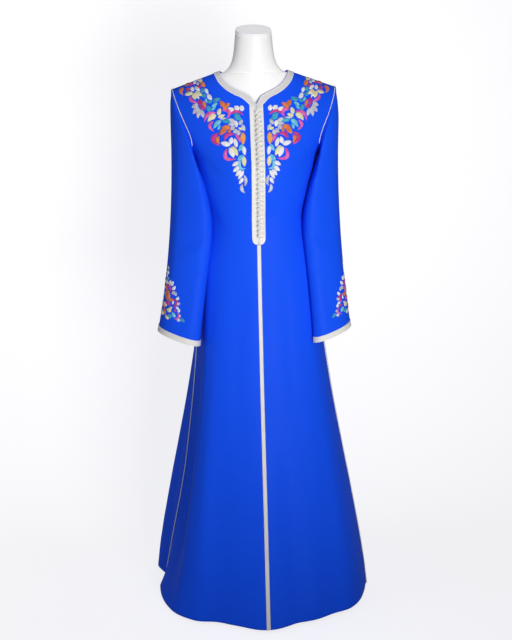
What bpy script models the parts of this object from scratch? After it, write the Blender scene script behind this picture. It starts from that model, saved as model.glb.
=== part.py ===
"""Royal blue kaftan worn on a limbless dress form: its cut pieces, its trims, and the form on its stand.

Metres, +Z up, floor at z = 0, origin under the middle of the stand. The front faces -Y.
Run with: blender --background --python part.py
"""

import math
from collections import namedtuple

import bmesh
import bpy
from mathutils import Vector

# Driving sizes of the kaftan
HEM_HEIGHT = 0.010
UNDERARM_HEIGHT = 1.250
YOKE_HEIGHT = 1.150
CLOTH = 0.0015
SEAM_GAP = 0.0003
SEAM_RUN = 0.00025
SECTION_POWER = 2.2
SHOULDER_SLOPE = 0.354
SHOULDER_ROUND_HEIGHT = 0.110
SHOULDER_ROUND_LENGTH = 0.143
NECK_HALF_WIDTH = 0.089
NECK_POINT_HEIGHT = 1.4673

# Driving sizes of the trims
BRAID = 0.0012
NECK_BRAID_WIDTH = 0.016
PLACKET_HALF_WIDTH = 0.0175
PLACKET_BOTTOM = 1.026
CENTRE_BRAID_HALF_WIDTH = 0.0042
SEAM_CORD_RADIUS = 0.0015
ARMHOLE_CORD_RADIUS = 0.0012
BUTTON_COUNT = 27
BUTTON_RADIUS = 0.0043
BUTTON_PITCH = 0.0124
TOP_BUTTON_HEIGHT = 1.363
LOOP_CORD_RADIUS = 0.0009

# Driving sizes of the dress form and its stand
FORM_BOTTOM = 0.780
FORM_CLEARANCE = 0.0016
FORM_DEPTH_SHARE = 0.88
NECK_TOP = 1.5665
NECK_BASE_HALF_WIDTH = 0.078
NECK_BASE_FRONT = 0.056
NECK_BASE_BACK = 0.036
NECK_TILT = math.radians(16.7)
CAP_THICKNESS = 0.004
BASE_RADIUS = 0.165
BASE_THICKNESS = 0.008
POLE_RADIUS = 0.0125
FLANGE_RADIUS = 0.045
FLANGE_THICKNESS = 0.009

# Mesh fineness
NECK_COLUMNS = 7
COLUMNS = 15
FORM_SIDES = 24

Section = namedtuple("Section", "z half_width front back")
# Outside of the cloth. Above the underarm the width is that of a torso that the armholes are cut from.
BODY_SECTIONS = [
    Section(0.010, 0.3040, 0.2400, 0.2650),
    Section(0.089, 0.2960, 0.2320, 0.2560),
    Section(0.292, 0.2620, 0.2050, 0.2280),
    Section(0.427, 0.2360, 0.1840, 0.2050),
    Section(0.577, 0.2080, 0.1600, 0.1820),
    Section(0.743, 0.1820, 0.1370, 0.1580),
    Section(0.870, 0.1660, 0.1210, 0.1400),
    Section(0.980, 0.1490, 0.1110, 0.1150),
    Section(1.085, 0.1300, 0.1060, 0.0930),
    Section(1.150, 0.1400, 0.1170, 0.0980),
    Section(1.225, 0.1550, 0.1250, 0.1040),
    Section(1.250, 0.1615, 0.1195, 0.1035),
    Section(1.300, 0.1860, 0.1050, 0.0985),
    Section(1.350, 0.2110, 0.0880, 0.0890),
    Section(1.400, 0.2340, 0.0725, 0.0750),
    Section(1.430, 0.2440, 0.0640, 0.0660),
    Section(1.470, 0.2500, 0.0580, 0.0600),
]

Fold = namedtuple("Fold", "angle half_width height top foot")
# Soft folds of the skirt: degrees from the centre front towards +X, metres out of the cloth that the fold would
# reach at the hem if it went on growing, the height that it starts from, and the share of it left at the hem
FOLDS = [
    Fold(0, 16, 0.026, 0.60, 1.0),
    Fold(-25, 13, -0.012, 0.55, 1.0),
    Fold(-54, 12, 0.008, 1.05, 0.2),
    Fold(-80, 44, -0.104, 0.96, 0.14),
    Fold(-108, 13, -0.014, 0.25, 1.0),
    Fold(-124, 15, 0.049, 0.98, 1.0),
    Fold(-146, 12, -0.012, 0.90, 1.0),
    Fold(-163, 12, 0.012, 0.85, 1.0),
    Fold(36, 14, -0.007, 0.55, 1.0),
    Fold(48, 12, 0.006, 1.05, 0.3),
    Fold(74, 20, -0.010, 1.05, 0.5),
    Fold(97, 15, 0.003, 1.04, 1.0),
    Fold(97, 14, 0.006, 0.12, 1.0),
    Fold(136, 13, -0.012, 0.90, 1.0),
    Fold(158, 13, 0.014, 0.85, 1.0),
    Fold(180, 8, -0.010, 0.80, 1.0),
]

SeamSwing = namedtuple("SeamSwing", "skirt hem")
# How far each side seam has swung from the side of the form towards the back, in degrees, and further at the hem
SIDE_SEAM_SWING = {1: SeamSwing(-3, 0), -1: SeamSwing(9, 6)}

# Heights of the rows of points, from the hem to the yoke line
SKIRT_ROWS = [0.010, 0.089, 0.190, 0.292, 0.427, 0.577, 0.743, 0.870, 0.980, 1.035, 1.092, 1.150]
YOKE_SIDE_ROWS = [1.183, 1.217]

NecklinePoint = namedtuple("NecklinePoint", "x z")
# Front edge of the neck from the centre slit to the shoulder, seen from the front
FRONT_NECK = [
    NecklinePoint(0.0002, 1.3840),
    NecklinePoint(0.0125, 1.4040),
    NecklinePoint(0.0280, 1.4125),
    NecklinePoint(0.0480, 1.4215),
    NecklinePoint(0.0670, 1.4335),
    NecklinePoint(0.0800, 1.4470),
    NecklinePoint(0.0865, 1.4590),
    NecklinePoint(0.0890, 1.4673),
]
BACK_NECK = [
    NecklinePoint(0.0000, 1.4500),
    NecklinePoint(0.0150, 1.4503),
    NecklinePoint(0.0300, 1.4513),
    NecklinePoint(0.0450, 1.4530),
    NecklinePoint(0.0590, 1.4558),
    NecklinePoint(0.0725, 1.4598),
    NecklinePoint(0.0832, 1.4645),
    NecklinePoint(0.0890, 1.4673),
]
# Foot of the neck braid at the slit, where it turns down into the placket
SLIT_BRAID_FOOT = [NecklinePoint(0.0002, 1.3700), NecklinePoint(0.0175, 1.3830)]

ArmholePoint = namedtuple("ArmholePoint", "z x")
# Armhole edge from the underarm to the shoulder tip, seen from the front
ARMHOLE = [
    ArmholePoint(1.2500, 0.1615),
    ArmholePoint(1.2535, 0.1622),
    ArmholePoint(1.2640, 0.1643),
    ArmholePoint(1.2800, 0.1645),
    ArmholePoint(1.3020, 0.1680),
    ArmholePoint(1.3290, 0.1785),
    ArmholePoint(1.3570, 0.1905),
    ArmholePoint(1.3830, 0.2005),
    ArmholePoint(1.4040, 0.2075),
    ArmholePoint(1.4205, 0.2119),
    ArmholePoint(1.4236, 0.2125),
]

SleeveRing = namedtuple("SleeveRing", "outer_x outer_z inner_x inner_z half_depth centre_y swing")
# Each ring of the right sleeve: its side away from the body, its side next to the body, and its size to and fro
SLEEVE_RINGS = [
    SleeveRing(0.2125, 1.4236, 0.1615, 1.2500, 0.0560, 0.000, 0),
    SleeveRing(0.2165, 1.4090, 0.1680, 1.2500, 0.0580, -0.002, 8),
    SleeveRing(0.2190, 1.3880, 0.1560, 1.2280, 0.0590, -0.005, 24),
    SleeveRing(0.2200, 1.3500, 0.1420, 1.2000, 0.0590, -0.008, 36),
    SleeveRing(0.2200, 1.3050, 0.1310, 1.1670, 0.0575, -0.012, 42),
    SleeveRing(0.2200, 1.2550, 0.1230, 1.1300, 0.0555, -0.017, 43),
    SleeveRing(0.2210, 1.2000, 0.1180, 1.0900, 0.0540, -0.022, 42),
    SleeveRing(0.2230, 1.1400, 0.1180, 1.0440, 0.0530, -0.028, 40),
    SleeveRing(0.2265, 1.0750, 0.1230, 0.9960, 0.0520, -0.034, 37),
    SleeveRing(0.2315, 1.0080, 0.1300, 0.9440, 0.0520, -0.041, 34),
    SleeveRing(0.2385, 0.9380, 0.1370, 0.8880, 0.0525, -0.048, 31),
    SleeveRing(0.2475, 0.8700, 0.1435, 0.8280, 0.0530, -0.054, 28),
    SleeveRing(0.2580, 0.8050, 0.1485, 0.7720, 0.0545, -0.058, 25),
    SleeveRing(0.2610, 0.7900, 0.1495, 0.7570, 0.0550, -0.059, 25),
]
SLEEVE_FADE_RINGS = 5
SLEEVE_CLEARANCE = 0.0028
SIDE_CORD_ROOM = 0.0035
SLEEVE_TURN = 0.004
SLEEVE_POWER = 2.4
SleeveOut = namedtuple("SleeveOut", "upper cuff")
# How far each sleeve stands out further than the table says: +1 is the sleeve on the +X side
SLEEVE_OUT = {1: SleeveOut(0.006, -0.009), -1: SleeveOut(0.0, 0.010)}

FormRing = namedtuple("FormRing", "z half_width front back")
# The form below the underarm, and the half width of its blunt shoulder ends above it
FORM_RINGS = [
    FormRing(0.780, 0.142, 0.101, 0.118),
    FormRing(0.795, 0.149, 0.108, 0.127),
    FormRing(0.870, 0.152, 0.113, 0.131),
    FormRing(0.925, 0.148, 0.108, 0.121),
    FormRing(0.980, 0.138, 0.103, 0.107),
    FormRing(1.030, 0.125, 0.099, 0.094),
    FormRing(1.085, 0.115, 0.098, 0.085),
    FormRing(1.150, 0.130, 0.108, 0.090),
    FormRing(1.190, 0.139, 0.114, 0.094),
    FormRing(1.225, 0.146, 0.116, 0.096),
    FormRing(1.250, 0.150, 0.110, 0.095),
    FormRing(1.300, 0.164, 0.0, 0.0),
    FormRing(1.340, 0.178, 0.0, 0.0),
    FormRing(1.375, 0.186, 0.0, 0.0),
    FormRing(1.400, 0.186, 0.0, 0.0),
    FormRing(1.418, 0.180, 0.0, 0.0),
    FormRing(1.430, 0.170, 0.0, 0.0),
]
NeckRing = namedtuple("NeckRing", "z half_width depth lean power")
NECK_RINGS = [
    NeckRing(1.4617, 0.0880, 0.0500, -0.0060, 1.35),
    NeckRing(1.4655, 0.0780, 0.0500, -0.0060, 1.25),
    NeckRing(1.4735, 0.0680, 0.0500, -0.0065, 1.12),
    NeckRing(1.4850, 0.0600, 0.0495, -0.0070, 1.04),
    NeckRing(1.5000, 0.0550, 0.0490, -0.0080, 1.0),
    NeckRing(1.5200, 0.0515, 0.0480, -0.0090, 1.0),
    NeckRing(1.5450, 0.0490, 0.0470, -0.0105, 1.0),
    NeckRing(NECK_TOP, 0.0470, 0.0465, -0.0120, 1.0),
]
FORM_RIDGE_HALF_WIDTHS = [0.155, 0.135, 0.115, 0.098]

MATERIALS = {
    "cloth": ((0.016, 0.078, 0.780), 0.50, 0.0),
    "braid": ((0.780, 0.770, 0.740), 0.45, 0.25),
    "cord": ((0.800, 0.800, 0.790), 0.50, 0.10),
    "form": ((0.860, 0.860, 0.850), 0.45, 0.0),
    "form_cap": ((0.780, 0.780, 0.780), 0.40, 0.0),
    "stand": ((0.600, 0.600, 0.610), 0.30, 1.0),
}


def clear_scene():
    for obj in list(bpy.data.objects):
        bpy.data.objects.remove(obj, do_unlink=True)


def lerp(a, b, t):
    return a + (b - a) * t


def smooth(t):
    t = min(1.0, max(0.0, t))
    return t * t * (3 - 2 * t)


def curve_value(xs, ys, x):
    """Smooth curve through the points, with no overshoot between them."""
    if x <= xs[0]:
        return ys[0]
    if x >= xs[-1]:
        return ys[-1]
    i = max(k for k in range(len(xs) - 1) if xs[k] <= x)
    slopes = [(ys[k + 1] - ys[k]) / (xs[k + 1] - xs[k]) for k in range(len(xs) - 1)]

    def tangent(k):
        if k == 0:
            return slopes[0]
        if k == len(xs) - 1:
            return slopes[-1]
        if slopes[k - 1] * slopes[k] <= 0:
            return 0.0
        return 2 * slopes[k - 1] * slopes[k] / (slopes[k - 1] + slopes[k])

    step = xs[i + 1] - xs[i]
    t = (x - xs[i]) / step
    start, end = tangent(i) * step, tangent(i + 1) * step
    rise = ys[i + 1] - ys[i]
    return ys[i] + t * start + t * t * (3 * rise - 2 * start - end) + t ** 3 * (start + end - 2 * rise)


SECTION_HEIGHTS = [s.z for s in BODY_SECTIONS]
SECTION_COLUMNS = {name: [getattr(s, name) for s in BODY_SECTIONS] for name in ("half_width", "front", "back")}


def section(name, z):
    return curve_value(SECTION_HEIGHTS, SECTION_COLUMNS[name], z)


def shoulder_height(x):
    return NECK_POINT_HEIGHT - (abs(x) - NECK_HALF_WIDTH) * SHOULDER_SLOPE


def signed_power(value, power):
    return math.copysign(abs(value) ** power, value)


def fold_height(angle, z):
    """How far the skirt's folds move the cloth outwards, for an angle from the centre front towards +X."""
    total = 0.0
    for fold in FOLDS:
        off = abs(math.degrees(math.remainder(angle - math.radians(fold.angle), 2 * math.pi)))
        share = (fold.top - z) / (fold.top - HEM_HEIGHT)
        if off < fold.half_width and share > 0:
            fade = share * (1 - (1 - fold.foot) * share ** 6)
            total += fold.height * fade * (0.5 + 0.5 * math.cos(math.pi * off / fold.half_width))
    return total


def skirt_point(angle, z, hand):
    """Outside of the cloth below the yoke line, with the hand's side turned to +X. The angle is 0 at the front."""
    depth = section("front" if math.cos(angle) > 0 else "back", z)
    width = section("half_width", z)
    power = 2 / SECTION_POWER
    x = width * signed_power(math.sin(angle), power)
    y = -depth * signed_power(math.cos(angle), power)
    out = Vector((x / width ** 2, y / depth ** 2, 0)).normalized()
    return Vector((x, y, z)) + out * fold_height(angle * hand, z)


def drop_of(run):
    """How far the cloth has dropped after running this far over the rounded shoulder."""
    if run >= SHOULDER_ROUND_LENGTH:
        return SHOULDER_ROUND_HEIGHT + run - SHOULDER_ROUND_LENGTH
    return SHOULDER_ROUND_HEIGHT * (1 - math.cos(run / SHOULDER_ROUND_LENGTH * math.pi / 2))


def run_of(drop):
    if drop >= SHOULDER_ROUND_HEIGHT:
        return SHOULDER_ROUND_LENGTH + drop - SHOULDER_ROUND_HEIGHT
    return math.acos(1 - max(0.0, drop) / SHOULDER_ROUND_HEIGHT) / (math.pi / 2) * SHOULDER_ROUND_LENGTH


def yoke_point(angle, run, side):
    """Outside of the cloth above the yoke line: an angle from the centre, and a run down from the shoulder seam."""
    power = 2 / SECTION_POWER
    z = NECK_POINT_HEIGHT - drop_of(run)
    x = 0.0
    for _ in range(12):
        x = section("half_width", z) * signed_power(math.sin(angle), power)
        z = shoulder_height(x) - drop_of(run)
    bulge = math.sin(min(1.0, run / SHOULDER_ROUND_LENGTH) * math.pi / 2)
    depth = section(side, z) * abs(math.cos(angle)) ** power * bulge
    return Vector((x, -depth if side == "front" else depth, z))


def angle_of(x, z):
    return math.asin(min(1.0, (abs(x) / section("half_width", z)) ** (SECTION_POWER / 2)))


def yoke_address(x, z):
    """The (angle, run) of a point of the cloth seen from the front at x, z."""
    return angle_of(x, z), run_of(shoulder_height(x) - z)


def side_seam_angle(z, hand):
    swing = SIDE_SEAM_SWING[hand]
    skirt = swing.skirt * (1 - smooth((z - 0.5) / (YOKE_HEIGHT - 0.5)))
    return math.radians(90 + skirt + swing.hem * (1 - smooth(z / 0.4)))


def first_column_x(z):
    """The first column of points follows the placket's edge, and spreads below it."""
    return lerp(0.028, PLACKET_HALF_WIDTH, smooth(z / PLACKET_BOTTOM))


def column_angle(column, z, side, hand):
    """Angle of a column of points at a height of the skirt, counted from the centre front or the centre back."""
    seam = side_seam_angle(z, hand)
    if side == "back":
        seam = math.pi - seam
    seam -= SEAM_GAP / 2 / section("half_width", z)
    if column == 0:
        return SEAM_GAP / 2 / section("half_width", z) if side == "front" else 0.0
    first = angle_of(first_column_x(z), z)
    return lerp(first, seam, (column - 1) / (COLUMNS - 1))


def yoke_normal(angle, run, side):
    step = 0.0005
    angle = min(angle, math.pi / 2 - step)
    run = max(run, step)
    across = yoke_point(angle + step, run, side) - yoke_point(angle - step, run, side)
    up = yoke_point(angle, run - step, side) - yoke_point(angle, run + step, side)
    out = across.cross(up).normalized()
    return out if side == "front" else -out


def skirt_normal(angle, z, hand):
    step = 0.0005
    across = skirt_point(angle + step, z, hand) - skirt_point(angle - step, z, hand)
    up = skirt_point(angle, z + step, hand) - skirt_point(angle, z - step, hand)
    return across.cross(up).normalized()


def nearest_address(target, angle, run, side):
    """The (angle, run) whose point lies nearest the target, starting from one close to it."""
    step = 0.0005
    for _ in range(12):
        miss = target - yoke_point(angle, run, side)
        by_angle = (yoke_point(angle + step, run, side) - yoke_point(angle - step, run, side)) / (2 * step)
        by_run = (yoke_point(angle, run + step, side) - yoke_point(angle, run - step, side)) / (2 * step)
        aa, ar, rr = by_angle.dot(by_angle), by_angle.dot(by_run), by_run.dot(by_run)
        am, rm = by_angle.dot(miss), by_run.dot(miss)
        spread = aa * rr - ar * ar
        angle += (am * rr - rm * ar) / spread
        run = max(2 * step, run + (rm * aa - am * ar) / spread)
    return angle, run


def neck_edge(side):
    """The (angle, run) of the neck edge at each column, out to the shoulder seam where the braid ends."""
    points = FRONT_NECK if side == "front" else BACK_NECK
    edge = [yoke_address(p.x, p.z) for p in points[:-1]]
    edge.append((angle_of(points[-1].x, points[-1].z), SEAM_RUN))
    return edge


def braid_edge(side, neck):
    """The (angle, run) of the braid's other edge, at each column up to the neck point."""
    seam_x = NECK_HALF_WIDTH + NECK_BRAID_WIDTH * math.cos(math.atan(SHOULDER_SLOPE))
    edge = []
    for c, (angle, run) in enumerate(neck[:-1]):
        if side == "front" and c < len(SLIT_BRAID_FOOT):
            edge.append(yoke_address(SLIT_BRAID_FOOT[c].x, SLIT_BRAID_FOOT[c].z))
            continue
        place = yoke_point(angle, run, side)
        after = yoke_point(*neck[c + 1], side)
        before = yoke_point(*neck[c - 1], side) if c else Vector((-after.x, after.y, after.z))
        down = yoke_normal(angle, run, side).cross(after - before).normalized()
        if down.z > 0:
            down = -down
        edge.append(nearest_address(place + down * NECK_BRAID_WIDTH, angle, run + 0.01, side))
    seam = (angle_of(seam_x, shoulder_height(seam_x)), SEAM_RUN)
    last = edge[-1]
    edge.append((lerp(last[0], seam[0], 0.55), lerp(last[1], seam[1], 0.5)))
    return edge, seam


def armhole_edge():
    return [yoke_address(p.x, p.z) for p in ARMHOLE[:-1]] + [
        (angle_of(ARMHOLE[-1].x, shoulder_height(ARMHOLE[-1].x)), SEAM_RUN)
    ]


def yoke_addresses(side):
    """Rows of (angle, run) from the yoke line up: a patch between four edges, then the neck and shoulder row."""
    neck = neck_edge(side)
    braid, braid_end = braid_edge(side, neck)
    arm = armhole_edge()
    seam_top = [braid_end[0]]
    spans = COLUMNS - NECK_COLUMNS - 1
    seam_top += [lerp(braid_end[0], arm[-1][0], (i + 1) / spans) for i in range(spans)]
    last_row = neck + [(angle, SEAM_RUN) for angle in seam_top]
    top = list(braid) + [(angle, arm[-2][1]) for angle in seam_top[:-1]] + [arm[-2]]
    foot = []
    for c in range(COLUMNS + 1):
        angle = column_angle(c, YOKE_HEIGHT, side, 1)
        x = section("half_width", YOKE_HEIGHT) * signed_power(math.sin(angle), 2 / SECTION_POWER)
        foot.append((angle, run_of(shoulder_height(x) - YOKE_HEIGHT)))
    right = [foot[-1]]
    for z in YOKE_SIDE_ROWS:
        angle = column_angle(COLUMNS, z, side, 1)
        right.append((angle, run_of(shoulder_height(section("half_width", z)) - z)))
    right.append((right[-1][0], arm[0][1]))
    right += arm[1:-1]
    count = len(right) - 1
    left = []
    for r in range(count + 1):
        run = lerp(foot[1][1], top[1][1], r / count)
        left.append((angle_of(PLACKET_HALF_WIDTH, yoke_point(foot[1][0], run, side).z), run))
    left[0], left[-1] = foot[1], top[1]
    rows = []
    for r in range(1, count + 1):
        share_left = (left[r][1] - foot[1][1]) / (top[1][1] - foot[1][1])
        share_right = (right[r][1] - foot[-1][1]) / (top[-1][1] - foot[-1][1])
        line = [(lerp(foot[0][0], top[0][0], share_left), lerp(foot[0][1], top[0][1], share_left))]
        for c in range(1, COLUMNS + 1):
            u = (c - 1) / (COLUMNS - 1)
            v = lerp(share_left, share_right, u)
            line.append(tuple(
                lerp(foot[c][k], top[c][k], v)
                + lerp(left[r][k] - lerp(foot[1][k], top[1][k], v), right[r][k] - lerp(foot[-1][k], top[-1][k], v), u)
                for k in (0, 1)
            ))
        rows.append(line)
    rows.append(last_row)
    return rows


def half_panel(side, hand):
    """Rows of outside points and normals of one half of the front or back, turned to +X, from the hem up."""
    rows, normals = [], []
    for z in SKIRT_ROWS:
        angles = [column_angle(c, z, side, hand) for c in range(COLUMNS + 1)]
        if side == "back":
            angles = [math.pi - a for a in angles]
        rows.append([skirt_point(a, z, hand) for a in angles])
        normals.append([skirt_normal(a, z, hand) for a in angles])
    for line in yoke_addresses(side):
        rows.append([yoke_point(a, run, side) for a, run in line])
        normals.append([yoke_normal(a, run, side) for a, run in line])
    return rows, normals


def grid_normals(rows, wrap=False):
    """Outward normal at each point of a grid of points. A wrapped grid closes round on itself."""
    last_row, last = len(rows) - 1, len(rows[0]) - 1
    normals = []
    for r, row in enumerate(rows):
        line = []
        for c, point in enumerate(row):
            if wrap:
                before, after = row[c - 1], row[(c + 1) % (last + 1)]
            else:
                before, after = row[max(c - 1, 0)], row[min(c + 1, last)]
            along = rows[min(r + 1, last_row)][c] - rows[max(r - 1, 0)][c]
            line.append((after - before).cross(along).normalized())
        normals.append(line)
    return normals


def moved(rows, normals, distance):
    return [[p + n * distance for p, n in zip(row, line)] for row, line in zip(rows, normals)]


def mirrored(rows):
    """The same points on the other side of the middle, in the order that keeps the faces outwards."""
    return [[Vector((-p.x, p.y, p.z)) for p in reversed(row)] for row in rows]


def material(name):
    found = bpy.data.materials.get(name)
    if found:
        return found
    colour, roughness, metallic = MATERIALS[name]
    made = bpy.data.materials.new(name)
    made.use_nodes = True
    shader = made.node_tree.nodes["Principled BSDF"]
    shader.inputs["Base Color"].default_value = (*colour, 1)
    shader.inputs["Roughness"].default_value = roughness
    shader.inputs["Metallic"].default_value = metallic
    return made


def add_object(name, mesh, finish, collection):
    mesh.materials.append(material(finish))
    mesh.shade_smooth()
    mesh.set_sharp_from_angle(angle=math.radians(40))
    obj = bpy.data.objects.new(name, mesh)
    collection.objects.link(obj)
    return obj


def wall(name, outer, inner, finish, collection, wrap=False):
    """A closed wall: a grid shaped to the outer points, and its extruded copy moved to the inner points."""
    if wrap:
        outer = [row + row[:1] for row in outer]
        inner = [row + row[:1] for row in inner]
    outside = [p for row in outer for p in row]
    inside = [p for row in inner for p in row]
    bm = bmesh.new()
    bmesh.ops.create_grid(bm, x_segments=len(outer[0]) - 1, y_segments=len(outer) - 1, size=0.5)
    place = bm.verts.layers.int.new("place")
    for i, vert in enumerate(bm.verts):
        vert[place] = i
        vert.co = outside[i]
    bmesh.ops.remove_doubles(bm, verts=bm.verts, dist=0.000001)
    bmesh.ops.triangulate(bm, faces=bm.faces[:], quad_method="SHORT_EDGE")
    made = bmesh.ops.extrude_face_region(bm, geom=bm.faces[:], use_keep_orig=True)
    for vert in made["geom"]:
        if isinstance(vert, bmesh.types.BMVert):
            vert.co = inside[vert[place]]
    bmesh.ops.recalc_face_normals(bm, faces=bm.faces)
    mesh = bpy.data.meshes.new(name)
    bm.to_mesh(mesh)
    bm.free()
    return add_object(name, mesh, finish, collection)


def lofted_solid(name, rings, finish, collection):
    """A solid skin over closed rings of points, with a flat face over each end ring."""
    bm = bmesh.new()
    loops = [[bm.verts.new(p) for p in ring] for ring in rings]
    count = len(rings[0])
    for low, high in zip(loops, loops[1:]):
        for i in range(count):
            j = (i + 1) % count
            bm.faces.new((low[i], low[j], high[j], high[i]))
    bm.faces.new(list(reversed(loops[0])))
    bm.faces.new(loops[-1])
    bmesh.ops.recalc_face_normals(bm, faces=bm.faces)
    mesh = bpy.data.meshes.new(name)
    bm.to_mesh(mesh)
    bm.free()
    return add_object(name, mesh, finish, collection)


def tube(name, path, radius, finish, collection, resolution=1, ends_as=None):
    """A round cord along a path, made a mesh with its caps welded."""
    data = bpy.data.curves.new(name, "CURVE")
    data.dimensions = "3D"
    data.bevel_depth = radius
    data.bevel_resolution = resolution
    data.use_fill_caps = True
    spline = data.splines.new("POLY")
    spline.points.add(len(path) - 1)
    for point, place in zip(spline.points, path):
        point.co = (*place, 1)
    guide = bpy.data.objects.new(name + "_guide", data)
    collection.objects.link(guide)
    bpy.context.view_layer.update()
    graph = bpy.context.evaluated_depsgraph_get()
    mesh = bpy.data.meshes.new_from_object(guide.evaluated_get(graph))
    bpy.data.objects.remove(guide, do_unlink=True)
    bm = bmesh.new()
    bm.from_mesh(mesh)
    bmesh.ops.remove_doubles(bm, verts=bm.verts, dist=0.00001)
    bmesh.ops.recalc_face_normals(bm, faces=bm.faces)
    bm.to_mesh(mesh)
    bm.free()
    mesh.name = name
    return add_object(name, mesh, finish, collection)


class Panel:
    """A cut piece of the body: its outside points, its outward normals and its inside points."""

    def __init__(self, rows, normals):
        self.rows = rows
        self.normals = normals
        self.inner = moved(rows, normals, -CLOTH)

    def mirrored(self):
        flipped = Panel(mirrored(self.rows), self.normals)
        flipped.normals = [[Vector((-n.x, n.y, n.z)) for n in reversed(line)] for line in self.normals]
        flipped.inner = moved(flipped.rows, flipped.normals, -CLOTH)
        return flipped


def body_panels(hand):
    """The front and back halves on one side, turned to +X."""
    return Panel(*half_panel("front", hand)), Panel(*half_panel("back", hand))


def joined_back(half, other):
    """The whole back from its two halves, which share the centre column."""
    outer, inner = [], []
    for r in range(len(half.rows)):
        outer.append(list(reversed(half.rows[r])) + list(reversed(other.rows[r]))[1:])
        inner.append(list(reversed(half.inner[r])) + list(reversed(other.inner[r]))[1:])
    return outer, inner


def armhole_ring(front, back):
    """Points and normals round the right armhole: shoulder tip, front, underarm, back."""
    first = len(ARMHOLE)
    fronts = [(row[-1], line[-1]) for row, line in zip(front.rows[-first:], front.normals[-first:])]
    backs = [(row[-1], line[-1]) for row, line in zip(back.rows[-first:], back.normals[-first:])]
    tip = ((fronts[-1][0] + backs[-1][0]) / 2, (fronts[-1][1] + backs[-1][1]).normalized())
    underarm = ((fronts[0][0] + backs[0][0]) / 2, (fronts[0][1] + backs[0][1]).normalized())
    return [tip] + fronts[-2:0:-1] + [underarm] + backs[1:-1]


def clear_of_body(point, hand):
    """Moves a point of the sleeve out of the body's own cross-section, to lie just clear of it and its side cord."""
    gap = SLEEVE_CLEARANCE + SIDE_CORD_ROOM * (1 - smooth((abs(point.y) - 0.015) / 0.02))
    width = section("half_width", point.z) + gap
    depth = section("front" if point.y < 0 else "back", point.z) + gap
    angle = math.atan2(abs(point.x) / width, -point.y / depth)
    swell = max(0.0, fold_height(angle * hand, point.z)) if point.z < YOKE_HEIGHT else 0.0
    width += swell
    depth += swell
    reach = ((abs(point.x) / width) ** SECTION_POWER + (abs(point.y) / depth) ** SECTION_POWER) ** (1 / SECTION_POWER)
    if reach >= 1:
        return point
    clear = Vector((point.x / reach, point.y / reach, point.z))
    return clear.lerp(point, smooth((point.z - UNDERARM_HEIGHT - 0.005) / 0.04))


def sleeve_rows(ring, hand):
    """Rows of outside points of the right sleeve, from the armhole to the cuff."""
    count = len(ring)
    seam, turned = [], []
    for k, (point, normal) in enumerate(ring):
        along = ring[(k + 1) % count][0] - ring[k - 1][0]
        away = normal.cross(along).normalized()
        seam.append(point + away * SEAM_GAP)
        turned.append(point + away * SLEEVE_TURN)
    rows = [seam, turned]
    first = SLEEVE_RINGS[0]
    reach = Vector((first.outer_x - first.inner_x, 0, first.outer_z - first.inner_z)) / 2
    centre = Vector(((first.outer_x + first.inner_x) / 2, 0, (first.outer_z + first.inner_z) / 2))
    start_turns = []
    for k, (point, _) in enumerate(ring):
        off = point - centre
        turn = math.atan2(-off.y / first.half_depth, off.dot(reach) / reach.dot(reach))
        start_turns.append(turn if k <= count // 2 else turn + 2 * math.pi)
    top = SLEEVE_RINGS[0].outer_z
    length = top - SLEEVE_RINGS[-1].outer_z

    def oval(entry, turn):
        down = (top - entry.outer_z) / length
        out = SLEEVE_OUT[hand].upper * smooth(down / 0.15) * (1 - down) + SLEEVE_OUT[hand].cuff * down ** 2
        middle = Vector((
            (entry.outer_x + entry.inner_x) / 2 + out,
            entry.centre_y,
            (entry.outer_z + entry.inner_z) / 2,
        ))
        half = Vector(((entry.outer_x - entry.inner_x) / 2, 0, (entry.outer_z - entry.inner_z) / 2))
        half.y = half.x * math.sin(math.radians(entry.swing))
        across = half * signed_power(math.cos(turn), 2 / SLEEVE_POWER)
        return middle + across + Vector((0, -entry.half_depth, 0)) * signed_power(math.sin(turn), 2 / SLEEVE_POWER)

    for i, entry in enumerate(SLEEVE_RINGS[1:], start=1):
        keep = 1 - smooth(i / SLEEVE_FADE_RINGS)
        row = []
        for k in range(count):
            turn = lerp(2 * math.pi * k / count, start_turns[k], keep)
            point = oval(entry, turn) + (ring[k][0] - oval(first, start_turns[k])) * keep
            row.append(clear_of_body(point, hand) if i > 1 else point)
        rows.append(row)
    return rows


def sleeve_parts(ring, hand):
    rows = sleeve_rows(ring, hand)
    normals = grid_normals(rows, wrap=True)
    middle = sum((p for p in rows[-1]), Vector()) / len(rows[-1])
    if normals[-1][0].dot(rows[-1][0] - middle) < 0:
        normals = [[-n for n in line] for line in normals]
    normals[0] = [normal for _, normal in ring]
    normals[1] = [(a + b).normalized() for a, b in zip(normals[0], normals[1])]
    return rows, normals, moved(rows, normals, -CLOTH)


def flip(rows):
    return [[Vector((-p.x, p.y, p.z)) for p in row] for row in rows]


def strip(name, edge_a, edge_b, normals_a, normals_b, lift, thickness, finish, collection):
    """A flat braid between two lines of points of the cloth, lifted off it."""
    outer = [
        [a + na * (lift + thickness), b + nb * (lift + thickness)]
        for a, b, na, nb in zip(edge_a, edge_b, normals_a, normals_b)
    ]
    inner = [[a + na * lift, b + nb * lift] for a, b, na, nb in zip(edge_a, edge_b, normals_a, normals_b)]
    return wall(name, outer, inner, finish, collection)


def row_crossing(rows, z):
    """The rows' line of points at a height, mixed from the two rows on either side of it."""
    for low in range(len(rows) - 1):
        if rows[low][0].z <= z <= rows[low + 1][0].z:
            return low, (z - rows[low][0].z) / (rows[low + 1][0].z - rows[low][0].z)
    raise ValueError("height is outside the panel")


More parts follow.
